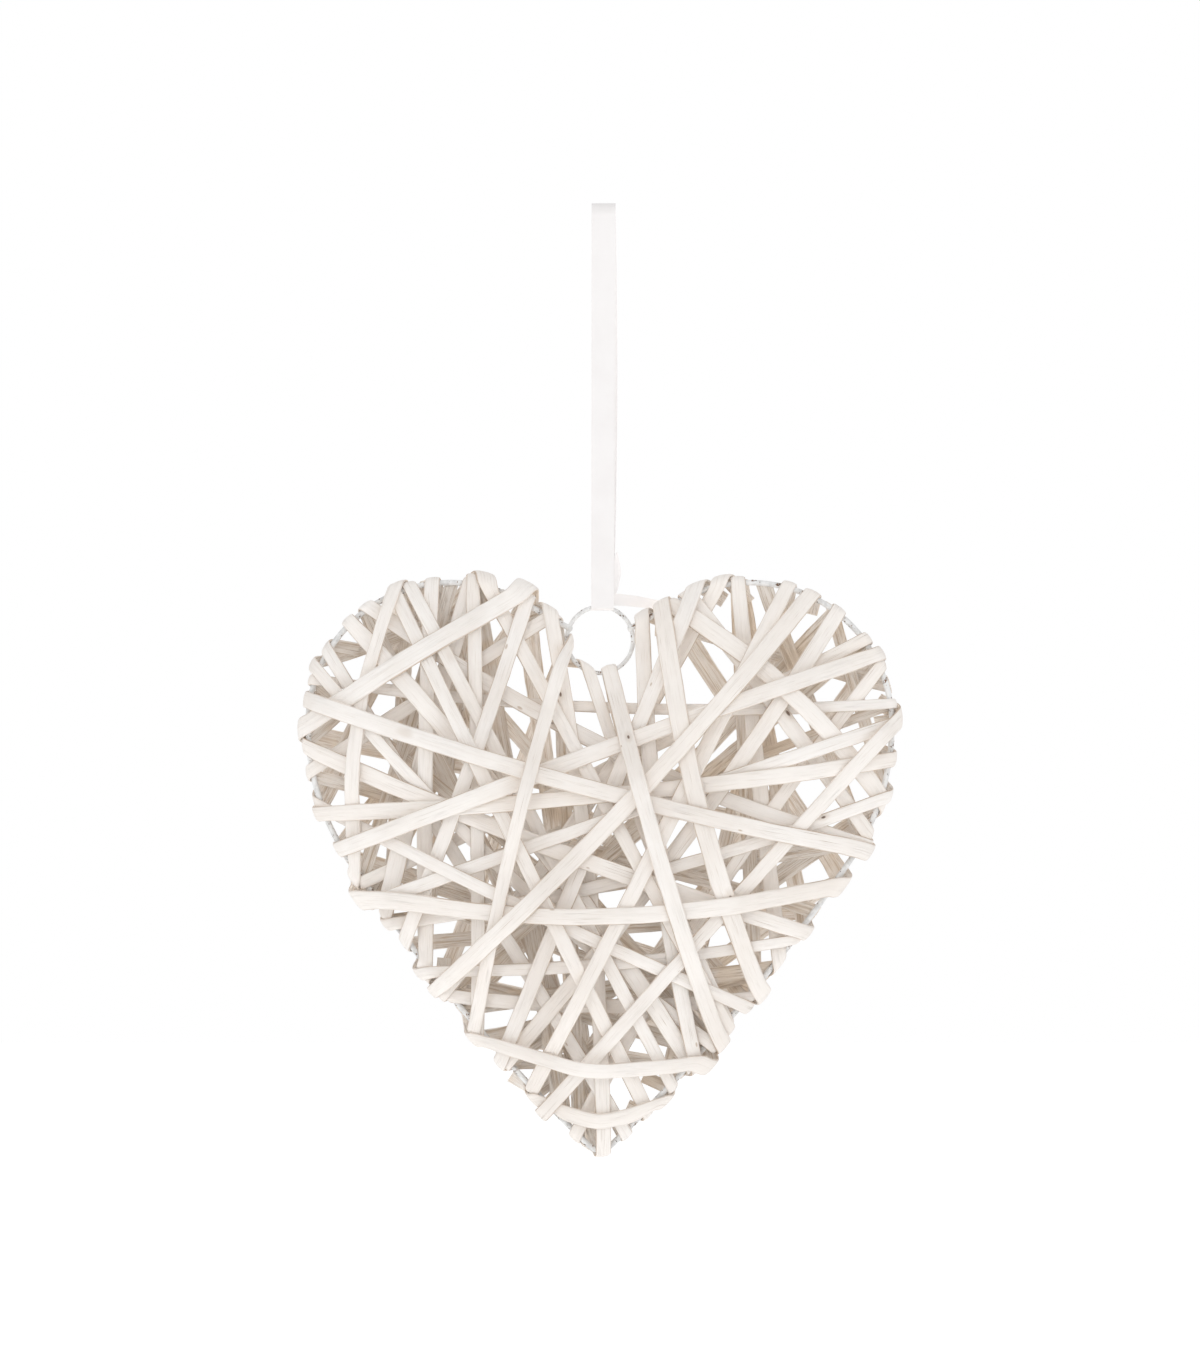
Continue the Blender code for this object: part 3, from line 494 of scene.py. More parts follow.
# A place on the outline is a share of the way round it from the tip, up the left side. Each strip
# starts across the back at the first share, and then has two spans across the front: from share,
# to share, bow to its left in mm, width in mm.
winding = (
    (0.106, (0.860, 0.596, 0.7, 6.7), (0.888, 0.114, 3.7, 6.2)),
    (0.399, (0.190, 0.672, -1.7, 5.8), (0.121, 0.585, -5.7, 6.2)),
    (0.829, (0.256, 0.454, 0.1, 5.8), (0.016, 0.689, 6.2, 5.8)),
    (0.177, (0.709, 0.304, 6.7, 4.6), (0.903, 0.493, 3.4, 5.0)),
    (0.025, (0.409, 0.173, -1.0, 7.9), (0.779, 0.569, -0.9, 6.7)),
    (0.609, (0.786, 0.353, 10.0, 6.7), (0.983, 0.320, -0.7, 5.8)),
    (0.923, (0.130, 0.392, 1.3, 6.7), (0.998, 0.455, -5.1, 6.2)),
    (0.430, (0.309, 0.918, -6.9, 5.4), (0.341, 0.933, 6.2, 7.5)),
    (0.105, (0.652, 0.069, 4.6, 6.7), (0.759, 0.560, -6.4, 7.9)),
    (0.870, (0.092, 0.410, -1.0, 5.8), (0.131, 0.848, -3.0, 5.0)),
    (0.648, (0.760, 0.168, 6.1, 5.4), (0.377, 0.948, 0.3, 5.8)),
    (0.699, (0.541, 0.925, -4.8, 6.7), (0.072, 0.574, 0.4, 6.7)),
    (0.597, (0.842, 0.267, 3.4, 7.1), (0.418, 0.909, 0.0, 5.8)),
    (0.830, (0.153, 0.445, -1.6, 6.2), (0.178, 0.715, 1.1, 5.8)),
    (0.386, (0.239, 0.888, -1.3, 5.4), (0.368, 0.967, 0.1, 6.2)),
    (0.898, (0.192, 0.371, 7.8, 5.8), (0.237, 0.739, -3.2, 6.7)),
    (0.809, (0.049, 0.622, 0.1, 6.7), (0.960, 0.038, 8.9, 6.7)),
    (0.443, (0.211, 0.682, 1.7, 7.1), (0.036, 0.720, 0.5, 6.2)),
    (0.206, (0.879, 0.548, 5.9, 7.9), (0.818, 0.176, 9.9, 7.1)),
    (0.004, (0.433, 0.280, -1.3, 7.9), (0.785, 0.295, 4.6, 7.1)),
    (0.939, (0.094, 0.462, 2.6, 5.8), (0.122, 0.636, -4.4, 7.5)),
    (0.124, (0.915, 0.503, 2.4, 7.1), (0.927, 0.090, 9.1, 6.2)),
)


def runOf(points):
    # how far along a row of points each of them lies
    return np.concatenate([[0], np.cumsum(np.linalg.norm(np.diff(points, axis=0), axis=1))])


def between(a, b, c, d, part):
    # a smooth way from b to c, with a before it and d after it
    return b + 0.5 * part * (c - a + part * (2 * a - 5 * b + 4 * c - d + part * (3 * (b - c) + d - a)))


def arc(centre, radius, start, end, step):
    count = max(2, math.ceil(radius * abs(end - start) / step) + 1)
    angles = np.linspace(start, end, count)
    return [(centre[0] + radius * math.cos(a), centre[1] + radius * math.sin(a)) for a in angles]


ringRadius = hangingRing["ringDiameter"] / 2
ringCentre = np.array([0.0, -ribbonLoop["loopDrop"] - ringRadius])
rimStep = laying["rimStep"]
cell = laying["cell"]
cellReach = laying["cellSpread"] * cell


def lobeCentre():
    # a straight piece of wire joins the ring's weld to the lobe's arc
    across = heartWire["lobeSpacing"] / 2 - ringRadius * math.cos(heartWire["jointTurn"])
    up = math.sqrt(heartWire["lobeRadius"] ** 2 + heartWire["jointStraight"] ** 2 - across ** 2)
    drop = up - ringRadius * math.sin(heartWire["jointTurn"])
    return np.array([heartWire["lobeSpacing"] / 2, ringCentre[1] - drop])


def sideChord(turn, shoulder, tipHeight):
    # from the end of a shoulder of this turn to the tip: its start, its way and its length
    start = shoulder + heartWire["shoulderRadius"] * np.array([math.cos(turn), -math.sin(turn)])
    chord = np.array([0.0, tipHeight]) - start
    return start, math.atan2(-chord[0], -chord[1]), np.linalg.norm(chord)


def shoulderTurn(shoulder, tipHeight):
    # the side's arc leaves the shoulder at half its own turn from its chord
    low, high = 0.0, math.pi / 2
    for halving in range(laying["halvings"]):
        turn = (low + high) / 2
        if sideChord(turn, shoulder, tipHeight)[1] - turn > heartWire["sideTurn"]:
            low = turn
        else:
            high = turn
    return turn


def rightHalf(step, bendStep):
    # the outline's right half as (x, z): from the ring, over the lobe and down the side to the tip
    lobe = lobeCentre()
    jointTurn = heartWire["jointTurn"]
    joint = ringCentre + ringRadius * np.array([math.cos(jointTurn), math.sin(jointTurn)])
    away = joint - lobe
    touch = math.atan2(away[1], away[0]) - math.acos(heartWire["lobeRadius"] / np.linalg.norm(away))
    shoulder = lobe + np.array([heartWire["lobeRadius"] - heartWire["shoulderRadius"], 0])
    points = [tuple(joint)]
    points += arc(lobe, heartWire["lobeRadius"], touch, 0, step)
    tipHeight = lobe[1] - heartWire["tipDrop"]
    turn = shoulderTurn(shoulder, tipHeight)
    points += arc(shoulder, heartWire["shoulderRadius"], 0, -turn, step)[1:]
    # the side is one long arc, tangent to the shoulder and aimed at the tip
    sideStart, way, length = sideChord(turn, shoulder, tipHeight)
    sideRadius = length / (2 * math.sin(heartWire["sideTurn"]))
    side = sideStart + sideRadius * np.array([-math.cos(turn), math.sin(turn)])
    tip = np.array([0.0, side[1] - math.sqrt((sideRadius - heartWire["tipBend"]) ** 2 - side[0] ** 2)])
    meet = math.atan2(tip[1] - side[1], tip[0] - side[0])
    points += arc(side, sideRadius, -turn, meet, 2 * step)[1:]
    points += arc(tip, heartWire["tipBend"], meet, -math.pi / 2, bendStep)[1:]
    return np.array(points)


def outline():
    # the closed loop the strips are wound on, from the tip up the left side and on under the ring
    half = rightHalf(laying["lobeStep"], rimStep)
    left = half * np.array([-1, 1])
    turn = heartWire["jointTurn"]
    under = arc(ringCentre, ringRadius, math.pi - turn, 2 * math.pi + turn, rimStep)
    return np.vstack([left[::-1], under[1:-1], half])


def evenSteps(points, step):
    lengths = runOf(points)
    at = np.linspace(0, lengths[-1], round(lengths[-1] / step), endpoint=False)
    return np.stack([np.interp(at, lengths, points[:, i]) for i in range(2)], axis=1)


rim = evenSteps(outline(), rimStep)
rimCount = len(rim)
rimAlong = unitRows(np.roll(rim, -1, axis=0) - np.roll(rim, 1, axis=0))
rimOut = np.stack([-rimAlong[:, 1], rimAlong[:, 0]], axis=1)
onRing = np.linalg.norm(rim - ringCentre, axis=1) < ringRadius + cell / 2
wireRadiusAt = np.where(onRing, hangingRing["ringWire"] / 2, heartWire["wireDiameter"] / 2)
joints = np.nonzero(onRing)[0][[0, -1]]


def leftOf(direction):
    return np.array([-direction[1], direction[0]])


def rimPoint(place):
    # place is a distance along the outline, in steps
    low = math.floor(place)
    part = place - low
    here = rim[low % rimCount] * (1 - part) + rim[(low + 1) % rimCount] * part
    along = rimAlong[low % rimCount] * (1 - part) + rimAlong[(low + 1) % rimCount] * part
    along = unit(along)
    return here, along, leftOf(along)


def puff(points):
    # how far the winding stands forward of the wire's plane before anything is laid on it
    points = np.atleast_2d(points)
    squared = ((points[:, None, :] - rim[:: laying["coarseStep"]][None]) ** 2).sum(axis=2) + 1e-9
    near = ((squared ** -3).sum(axis=1) * laying["coarseStep"] * rimStep / (3 * math.pi / 8)) ** -0.2
    return willow["puffDepth"] * (1 - (1 - np.clip(near / willow["puffReach"], 0, 1)) ** 2)


# Two height maps hold how high the strips already laid stand, in front and behind, and a third map
# holds how far they stand off the wire all round it.
lowCorner = rim.min(axis=0) - laying["mapMargin"]
mapSize = np.ceil((rim.max(axis=0) + laying["mapMargin"] - lowCorner) / cell).astype(int)
pile = {front: np.full(mapSize, -1.0), back: np.full(mapSize, -1.0)}
turns = np.linspace(0, math.pi, laying["wrapRows"])
rimPile = np.repeat(wireRadiusAt[None], laying["wrapRows"], axis=0)


def window(points, spread):
    low = np.floor((points.min(axis=0) - spread - lowCorner) / cell).astype(int)
    high = np.ceil((points.max(axis=0) + spread - lowCorner) / cell).astype(int) + 1
    low = np.clip(low, 0, mapSize - 1)
    high = np.clip(high, 1, mapSize)
    xs, zs = np.meshgrid(np.arange(low[0], high[0]), np.arange(low[1], high[1]), indexing="ij")
    cells = np.stack([xs.ravel(), zs.ravel()], axis=1)
    return cells, lowCorner + (cells + 0.5) * cell


def nearWire():
    # every cell close to the wire, with its nearest place on the outline and its distance inward
    place = np.full(mapSize, -1)
    inward = np.full(mapSize, 0.0)
    nearest = np.full(mapSize, laying["bandSpare"] * laying["rimBand"])
    for index in range(rimCount):
        cells, points = window(rim[index : index + 1], laying["rimBand"])
        away = points - rim[index]
        distance = np.linalg.norm(away, axis=1)
        closer = distance < nearest[cells[:, 0], cells[:, 1]]
        cells = cells[closer]
        nearest[cells[:, 0], cells[:, 1]] = distance[closer]
        place[cells[:, 0], cells[:, 1]] = index
        inward[cells[:, 0], cells[:, 1]] = -(away[closer] @ rimOut[index])
    return place, inward


cellPlace, cellInward = nearWire()


def layWireInMaps():
    radius = np.where(cellPlace >= 0, wireRadiusAt[cellPlace], 0)
    height = np.sqrt(np.clip(radius ** 2 - cellInward ** 2, 0, None))
    height[(cellPlace < 0) | (np.abs(cellInward) > radius + cell)] = -1
    for side in (front, back):
        pile[side] = np.maximum(pile[side], height)


layWireInMaps()


def heap(side, where, top):
    # raises one side's map to this height where it is lower
    pile[side][where] = np.maximum(pile[side][where], top)


def heapOnRim(rows, columns, outer):
    for row in rows:
        rimPile[row, columns] = np.maximum(rimPile[row, columns], outer)


def stretchCells(here, there):
    # cells under a four-sided stretch between two sections, with their share along and across it
    centreA, reachA = here
    centreB, reachB = there
    corners = np.array([centreA + reachA, centreA - reachA, centreB + reachB, centreB - reachB])
    cells, points = window(corners, cellReach)
    acrossA = unit(reachA)
    acrossB = unit(reachB)
    ahead = centreB - centreA
    fromA = (points - centreA) @ (leftOf(acrossA) * np.sign(leftOf(acrossA) @ ahead))
    toB = (centreB - points) @ (leftOf(acrossB) * np.sign(leftOf(acrossB) @ ahead))
    edge = {}
    for sign in (1, -1):
        start = centreA + sign * reachA
        run = centreB + sign * reachB - start
        inside = leftOf(run) / np.linalg.norm(run)
        opposite = (centreA + centreB - sign * (reachA + reachB)) / 2
        inside *= np.sign(inside @ (opposite - start))
        edge[sign] = (points - start) @ inside
    width = edge[1] + edge[-1]
    keep = (fromA > -cellReach) & (toB > -cellReach) & (width > laying["leastWidth"])
    keep &= (edge[1] > -cellReach) & (edge[-1] > -cellReach)
    total = np.maximum(fromA + toB, np.linalg.norm(ahead) * laying["leastTotal"])
    along = np.clip(fromA / total, 0, 1)
    most = laying["mostAcross"]
    across = np.clip((edge[-1] - edge[1]) / np.maximum(width, laying["leastWidth"]), -most, most)
    return cells[keep], along[keep], across[keep]


def needed(side, cells):
    return pile[side][cells[:, 0], cells[:, 1]] + laying["layGap"]


def planPath(start, end, bow, along):
    middle = (start + end) / 2
    chord = end - start
    bent = middle + 2 * bow * leftOf(unit(chord))
    return start * (1 - along) ** 2 + 2 * along * (1 - along) * bent + end * along ** 2


def tiltOf(centre, reach):
    ends = puff(np.array([centre + reach, centre - reach]))
    return (ends[0] - ends[1]) / 2


def firstRises(side, place, inward, reach, width, radii):
    # how high a span gets on its first piece, for each radius its wrap may have
    here = rimPoint(place)[0]
    centre = here + inward * laying["ease"]
    sideReach = width / 2 * leftOf(inward) * np.sign(leftOf(inward) @ reach)
    cells, share, across = stretchCells((here, reach), (centre, sideReach))
    tilt = tiltOf(centre, sideReach)
    use = share > laying["seatShare"]
    want = (needed(side, cells) - across * share * tilt)[use]
    share = share[use]
    rises = [((want - radius * (1 - share)) / share).max(initial=0) for radius in radii]
    return np.maximum(rises, puff(centre)[0])


def settleRadius(low, ends):
    # the radius that keeps both the wrap small and the spans that leave it low
    radii = low + np.arange(0, laying["mostRaise"], laying["raiseStep"])
    cost = laying["rimWeight"] * radii
    for end in ends:
        cost = cost + firstRises(*end, radii)
    best = int(cost.argmin())
    return radii[best], cost[best]


def ringCloseness(place, halfLength):
    # on the ring's underside the wire bends towards the wrap, which then needs more room
    if onRing[int(round(place)) % rimCount]:
        return halfLength ** 2 / hangingRing["ringDiameter"]
    return 0.0


def rowsCovered(place, halfLength, radius):
    reach = halfLength + laying["layGap"]
    if onRing[int(round(place)) % rimCount]:
        reach *= ringRadius / (ringRadius - radius)
    reach /= rimStep
    return np.arange(math.floor(place - reach), math.ceil(place + reach) + 1) % rimCount


def stepsFrom(place):
    # how far round the outline each cell's nearest place is, in steps
    return (cellPlace - place + rimCount / 2) % rimCount - rimCount / 2


def clearOfJoints(place, halfLength):
    reach = (halfLength + laying["jointClearance"]) / rimStep
    for joint in joints:
        if abs(place - joint) < reach:
            return joint + math.copysign(reach, place - joint if place != joint else 1)
    return place


def wrapRadius(place, shift, halfLength):
    middleTurn = (math.pi - laying["openTurn"]) / laying["wrapPieces"] / 2
    most = 0.0
    for row, turn in enumerate(turns):
        at = place + shift * turn / math.pi
        most = max(most, rimPile[row, rowsCovered(at, halfLength, laying["typicalRadius"])].max())
    return (most + laying["layGap"] + ringCloseness(place, halfLength)) / math.cos(middleTurn)


def backInward(frontInward, along, out):
    # a strip that comes off the wire keeps its run along the wire and turns back inward
    return unit(-(frontInward @ along) * along - max(-(frontInward @ out), laying["leastSlant"]) * out)


class Contact:
    # a place where a strip meets the wire
    def seat(self, side):
        here, along, out = rimPoint(self.contact(side))
        return here, self.half * along * self.sign


class Wrap(Contact):
    # one turn of a strip round the wire, from a span on one side to a span on the other
    def __init__(self, place, frontInward, width, sign):
        here, along, out = rimPoint(place)
        outward = -frontInward
        lean = (outward @ along) / max(outward @ out, laying["leastSlant"])
        sine = 1 / math.hypot(1, lean)
        most = laying["mostShift"]
        self.half = width / 2 * willow["wrapNarrowing"] * min(1 / sine, willow["widestLean"])
        self.shift = np.clip(lean * math.pi * laying["shiftRadius"], -most, most) / rimStep
        self.sign = sign
        self.sine = max(sine, laying["leastSine"])
        self.width = width
        self.frontInward = frontInward
        best = None
        for nudge in laying["nudges"]:
            moved = clearOfJoints(place + nudge / rimStep, self.half)
            movedBack = clearOfJoints(moved + self.shift, self.half) - self.shift
            radius, cost = self.radiusAt(movedBack)
            score = cost + laying["nudgeWeight"] * abs(nudge)
            if best is None or score < best[0]:
                best = (score, movedBack, radius)
        self.place, self.radius = best[1:]
        self.lift = {front: laying["firstLift"], back: laying["firstLift"]}

    def radiusAt(self, place):
        ends = []
        for side, at in ((front, place), (back, place + self.shift)):
            here, along, out = rimPoint(at)
            inward = self.frontInward if side == front else backInward(self.frontInward, along, out)
            ends.append((side, at, inward, self.half * along * self.sign, self.width))
        return settleRadius(wrapRadius(place, self.shift, self.half), ends)

    def station(self, turn):
        return self.place + self.shift * turn / math.pi

    def contact(self, side):
        return self.place if side == front else self.place + self.shift

    def section(self, turn):
        here, along, out = rimPoint(self.station(turn))
        outward = np.array([out[0] * math.sin(turn), -math.cos(turn), out[1] * math.sin(turn)])
        centre = np.array([here[0], 0, here[1]]) + self.radius * outward
        reach = self.half * self.sign * np.array([along[0], 0, along[1]])
        return centre, reach, willow["wrapThickness"] * outward

    def course(self, toBack):
        made = np.linspace(self.turnAt(front), self.turnAt(back), laying["wrapPieces"] + 1)
        return [self.section(turn) for turn in (made if toBack else made[::-1])]

    def turnAt(self, side):
        return self.lift[front] if side == front else math.pi - self.lift[back]

    def recordInMaps(self):
        outer = self.radius + willow["wrapThickness"]
        spare = laying["turnSpare"]
        for row, turn in enumerate(turns):
            if self.turnAt(front) - spare < turn < self.turnAt(back) + spare:
                heapOnRim([row], rowsCovered(self.station(turn), self.half, outer), outer)
        close = (cellPlace >= 0) & (cellInward < cell) & (cellInward > -outer - cell)
        height = np.sqrt(np.clip(outer ** 2 - cellInward ** 2, 0, None))
        turned = np.arcsin(np.clip(-cellInward / outer, 0, 1))
        steps = stepsFrom(self.place)
        for side in (front, back):
            turn = turned if side == front else math.pi - turned
            off = np.abs(steps - self.shift * turn / math.pi) * rimStep
            under = close & (off < self.half + cell) & (turned > self.lift[side] - laying["liftSpare"])
            heap(side, under, height[under])


def crownAt(across):
    # the strip's thickness as a share of its crown's, at these places across it
    return np.clip((1 - np.abs(across)) / (1 - willow["crownShare"]), 0, 1)


def spanSection(centre, reach, height, tilt, side, thickness):
    low = np.array([centre[0], -side * height, centre[1]])
    lean = np.array([reach[0], -side * tilt, reach[1]])
    up = np.array([0, -side * thickness, 0])
    return low, lean, up


def settleHeights(heights, covered, wants):
    # raises the sections just as far as the cells under the stretches between them ask for
    last = len(covered)
    for sweep in range(laying["sweeps"]):
        worst = 0.0
        for index, (cells, along, across) in enumerate(covered):
            missing = wants[index] - heights[index] * (1 - along) - heights[index + 1] * along
            if index == 0:
                missing = np.where(along > laying["seatShare"], missing, 0)
            if index == last - 1:
                missing = np.where(along < 1 - laying["seatShare"], missing, 0)
            if not len(missing) or missing.max() <= laying["closeEnough"]:
                continue
            most = int(missing.argmax())
            worst = max(worst, missing[most])
            weightA = 0 if index == 0 else 1 - along[most]
            weightB = 0 if index == last - 1 else along[most]
            scale = missing[most] / (weightA ** 2 + weightB ** 2)
            heights[index] += weightA * scale
            heights[index + 1] += weightB * scale
        if worst <= laying["closeEnough"]:
            break


def easeHeights(heights, base, covered, wants, distances):
    # lets each section down again where it may lie lower, and spreads the steep rises
    last = len(covered)
    for settle in range(laying["settlings"]):
        for index in range(1, last):
            low = base[index]
            for other, segment, mine in ((index - 1, index - 1, 1), (index + 1, index, 0)):
                along = covered[segment][1]
                weight = along if mine else 1 - along
                use = weight > laying["leastShare"]
                if use.any():
                    least = (wants[segment] - heights[other] * (1 - weight))[use] / weight[use]
                    low = max(low, least.max())
            heights[index] = min(heights[index], low)
        proud = heights - base
        for index in list(range(1, last)) + list(range(last - 1, 0, -1)):
            for other in (index - 1, index + 1):
                step = abs(distances[index] - distances[other])
                proud[index] = max(proud[index], proud[other] - laying["stiffness"] * step)
        heights[1:last] = (base + proud)[1:last]


def laySpan(side, start, end, bow, widthStart, widthEnd, order):
    # a stretch between two contacts with the wire, laid on what is already there and then smoothed
    pointA = rimPoint(start.contact(side))[0]
    pointB = rimPoint(end.contact(side))[0]
    length = np.linalg.norm(pointB - pointA)
    ease = min(laying["ease"], laying["easeShare"] * length) / length
    inner = max(2, round((1 - 2 * ease) * length / laying["spanPiece"]))
    shares = np.concatenate([[0], np.linspace(ease, 1 - ease, inner + 1), [1]])
    centres = np.array([planPath(pointA, pointB, bow, share) for share in shares])
    widths = widthStart + (widthEnd - widthStart) * shares
    distances = runOf(centres)
    last = len(shares) - 1
    sections = [start.seat(side)]
    for index in range(1, last):
        heading = unit(centres[index + 1] - centres[index - 1])
        sections.append((centres[index], -side * widths[index] / 2 * leftOf(heading)))
    sections.append(end.seat(side))
    tilts = np.array([0] + [tiltOf(*section) for section in sections[1:last]] + [0])
    twists = laying["twistShare"] * np.abs(np.diff(tilts))
    covered = [stretchCells(*sections[index : index + 2]) for index in range(last)]
    leans = []
    wants = []
    for index, (cells, along, across) in enumerate(covered):
        leans.append(tilts[index] + (tilts[index + 1] - tilts[index]) * along)
        wants.append(needed(side, cells) + twists[index] - across * leans[index])
    inward = np.minimum(distances, distances[-1] - distances)
    base = puff(centres) + laying["spread"] * (order - 0.5) * np.clip(inward / laying["riseRun"], 0, 1)
    heights = base.copy()
    for attempt in range(laying["attempts"]):
        heights[0] = start.radius / math.cos(start.lift[side])
        heights[-1] = end.radius / math.cos(end.lift[side])
        settleHeights(heights, covered, wants)
        easeHeights(heights, base, covered, wants, distances)
        for contact, near, far in ((start, 0, 1), (end, -1, -2)):
            slope = (heights[far] - heights[near]) / abs(distances[far] - distances[near])
            least, most = laying["liftLimits"]
            contact.lift[side] = min(max(math.atan2(slope, contact.sine), least), most)
    for index, (cells, along, across) in enumerate(covered):
        climb = heights[index + 1] - heights[index]
        slope = climb / (distances[index + 1] - distances[index])
        thick = willow["stripThickness"] * math.hypot(1, slope)
        top = heights[index] + climb * along + across * leans[index]
        top += crownAt(across) * thick * laying["topSpare"] + twists[index]
        heap(side, tuple(cells.T), top)
    rise = np.gradient(heights, distances)
    made = []
    for index in range(1, last):
        halfWidth = np.linalg.norm(sections[index][1])
        steepness = math.sqrt(1 + rise[index] ** 2 + (tilts[index] / halfWidth) ** 2)
        thick = willow["stripThickness"] * steepness
        made.append(spanSection(*sections[index], heights[index], tilts[index], side, thick))
    return made


class Ending(Contact):
    # a strip's cut end, lying over the wire on the back
    def __init__(self, place, inward, width, sign):
        here, along, out = rimPoint(place)
        self.sine = max(-(inward @ out), laying["leastSine"])
        self.half = width / 2 * min(1 / self.sine, willow["widestLean"])
        self.sign = sign
        self.place = clearOfJoints(place, self.half)
        columns = rowsCovered(self.place, self.half, laying["typicalRadius"])
        low = rimPile[laying["wrapRows"] // 2 :, columns].max() + laying["layGap"]
        reach = self.half * along * sign
        self.radius = settleRadius(low, [(back, self.place, inward, reach, width)])[0]
        self.lift = {back: laying["firstLift"]}

    def contact(self, side):
        return self.place

    def course(self, toBack):
        here, along, out = rimPoint(self.place)
        slope = math.tan(self.lift[back])
        height = self.radius / math.cos(self.lift[back]) - slope * willow["cutEndReach"]
        centre = here + out * willow["cutEndReach"]
        reach = self.half * along * self.sign
        return [spanSection(centre, reach, height, 0, back, willow["stripThickness"])]

    def recordInMaps(self):
        outer = math.hypot(self.radius + willow["stripThickness"], willow["cutEndReach"])
        outer += laying["seamSpare"]
        rows = np.nonzero(turns > math.pi * laying["endTurnShare"])[0]
        heapOnRim(rows, rowsCovered(self.place, self.half, outer), outer)
        under = (cellPlace >= 0) & (np.abs(stepsFrom(self.place)) * rimStep < self.half + cell)
        under &= np.abs(cellInward) < willow["cutEndReach"] + cell
        heap(back, under, self.radius / math.cos(self.lift[back]) + willow["stripThickness"])


def tailStretch(wrap, width, length, turn):
    # one way a tail may lie: its end, the cells under it and the heights it has to clear there
    here, along, out = rimPoint(wrap.contact(back))
    inward = backInward(wrap.frontInward, along, out)
    way = inward * math.cos(turn) + leftOf(inward) * math.sin(turn)
    centre = here + way * length
    reach = width / 2 * leftOf(way) * np.sign(leftOf(way) @ (along * wrap.sign))
    tilt = tiltOf(centre, reach)
    cells, share, across = stretchCells(wrap.seat(back), (centre, reach))
    use = share > laying["tailSeat"]
    want = needed(back, cells) + laying["twistShare"] * abs(tilt) - across * share * tilt
    return length, centre, reach, tilt, cells, share, across, want[use], share[use]


def layTail(wrap, width):
    # the tucked end of a strip, a short way in from the wire on the back, where it lies lowest
    start = wrap.radius / math.cos(laying["firstLift"])
    best = None
    for length in willow["tailLengths"]:
        for turn in willow["tailTurns"]:
            tail = tailStretch(wrap, width, length, turn)
            score = ((tail[-2] - start) / tail[-1]).max(initial=0) + laying["turnWeight"] * abs(turn)
            if best is None or score < best[0]:
                best = (score, tail)
    length, centre, reach, tilt, cells, share, across, want, used = best[1]
    slope = math.tan(laying["firstLift"]) * wrap.sine
    for attempt in range(laying["attempts"]):
        start = wrap.radius / math.cos(wrap.lift[back])
        height = max(start + slope * length, start + ((want - start) / used).max())
        wrap.lift[back] = min(math.atan2((height - start) / length, wrap.sine), laying["liftLimits"][1])
    top = start + (height - start) * share + across * share * tilt
    top += willow["stripThickness"] * laying["tailTop"] * crownAt(across)
    heap(back, tuple(cells.T), top)
    thick = willow["stripThickness"] * willow["tailThickening"]
    return spanSection(centre, reach, height, tilt, back, thick)


def stripSections(backStart, first, second, order):
    # a strip's whole course: spans across the back, front, back and front, and the tucked tail
    scale = laying["windingUnit"]
    widthA = first[3] * scale
    widthB = second[3] * scale
    middle = (widthA + widthB) / 2
    ways = []
    for start, end, bow, width in (first, second):
        points = [rimPoint(share * rimCount)[0] for share in (start, end)]
        for share, point in zip((laying["aimShare"], 1 - laying["aimShare"]), points):
            ways.append(unit(planPath(*points, bow * scale, share) - point))
    later = order + 0.5 / len(winding)
    # each span's side, its next wrap's place, way and width, and its own bow, widths and layer
    spans = (
        (back, first[0], ways[0], widthA, 0, widthA, widthA, order),
        (front, first[1], ways[1], middle, first[2] * scale, widthA, widthA, order),
        (back, second[0], ways[2], middle, 0, widthA, widthB, later),
        (front, second[1], ways[3], widthB, second[2] * scale, widthB, widthB, later),
    )
    sections = []
    before = None
    for side, share, way, width, bow, widthStart, widthEnd, layer in spans:
        wrap = Wrap(share * rimCount, way, width, side)
        if before is None:
            place = backStart * rimCount
            inward = unit(rimPoint(wrap.contact(back))[0] - rimPoint(place)[0])
            before = Ending(place, inward, widthA, 1)
        span = laySpan(side, before, wrap, bow, widthStart, widthEnd, layer)
        before.recordInMaps()
        sections += before.course(side == back) + span
        before = wrap
    tail = layTail(before, widthB)
    before.recordInMaps()
    return sections + before.course(True) + [tail]


# Willow strips
stripShape = {
    "step": 0.0024,
    "bendSampling": 3.2,  # extra rings where the strip bends
    "roundest": 0.010,  # how far from a turn the strip starts to bend
    "cornerShare": 0.42,
    "cornerPoints": 8,
    "finePiece": 0.0003,
    "bendWindow": 13,  # pieces over which a bend is smoothed
    # across the width and its share of the thickness, from one edge over the top to the other
    "crown": (
        (-1.0, 0.12), (-0.985, 0.40), (-0.93, 0.60), (-0.84, 0.73), (-0.64, 0.865), (-0.34, 0.965),
        (0.0, 1.0),
        (0.34, 0.965), (0.64, 0.865), (0.84, 0.73), (0.93, 0.60), (0.985, 0.40), (1.0, 0.12),
    ),
    "underside": (0.90, 0.45, 0.0, -0.45, -0.90),
    "foldWidth": 1.20,
    # how much each of these wanders, and over how many rings
    "thicknessWander": (0.12, 14),
    "widthWander": (0.06, 18),
    "edgeNibble": (0.030, 2.2),
    "fibreRelief": (0.00005, 5),
    "undersideRelief": (0.00010, 4),
    "toneWander": (0.22, 30),
    "mostTone": 0.7,
    "sharpAngle": math.radians(38),
    "perMetre": 10,  # the fibres' texture is measured in decimetres
    "textureShift": 17.3,
    "endTexture": (0.04, 0.0005),  # on the cut ends, across the strip and from point to point
    "seed": 400,
}


def wander(rng, places, size, every):
    # a wandering line: random values at even spaces, joined smoothly
    knots = rng.normal(0, 1, math.ceil(places[-1] / every) + 4)
    at = places / every + 1
    low = np.floor(at).astype(int)
    return size * (between(*(knots[low + shift] for shift in (-1, 0, 1, 2)), at - low) * 0.6)


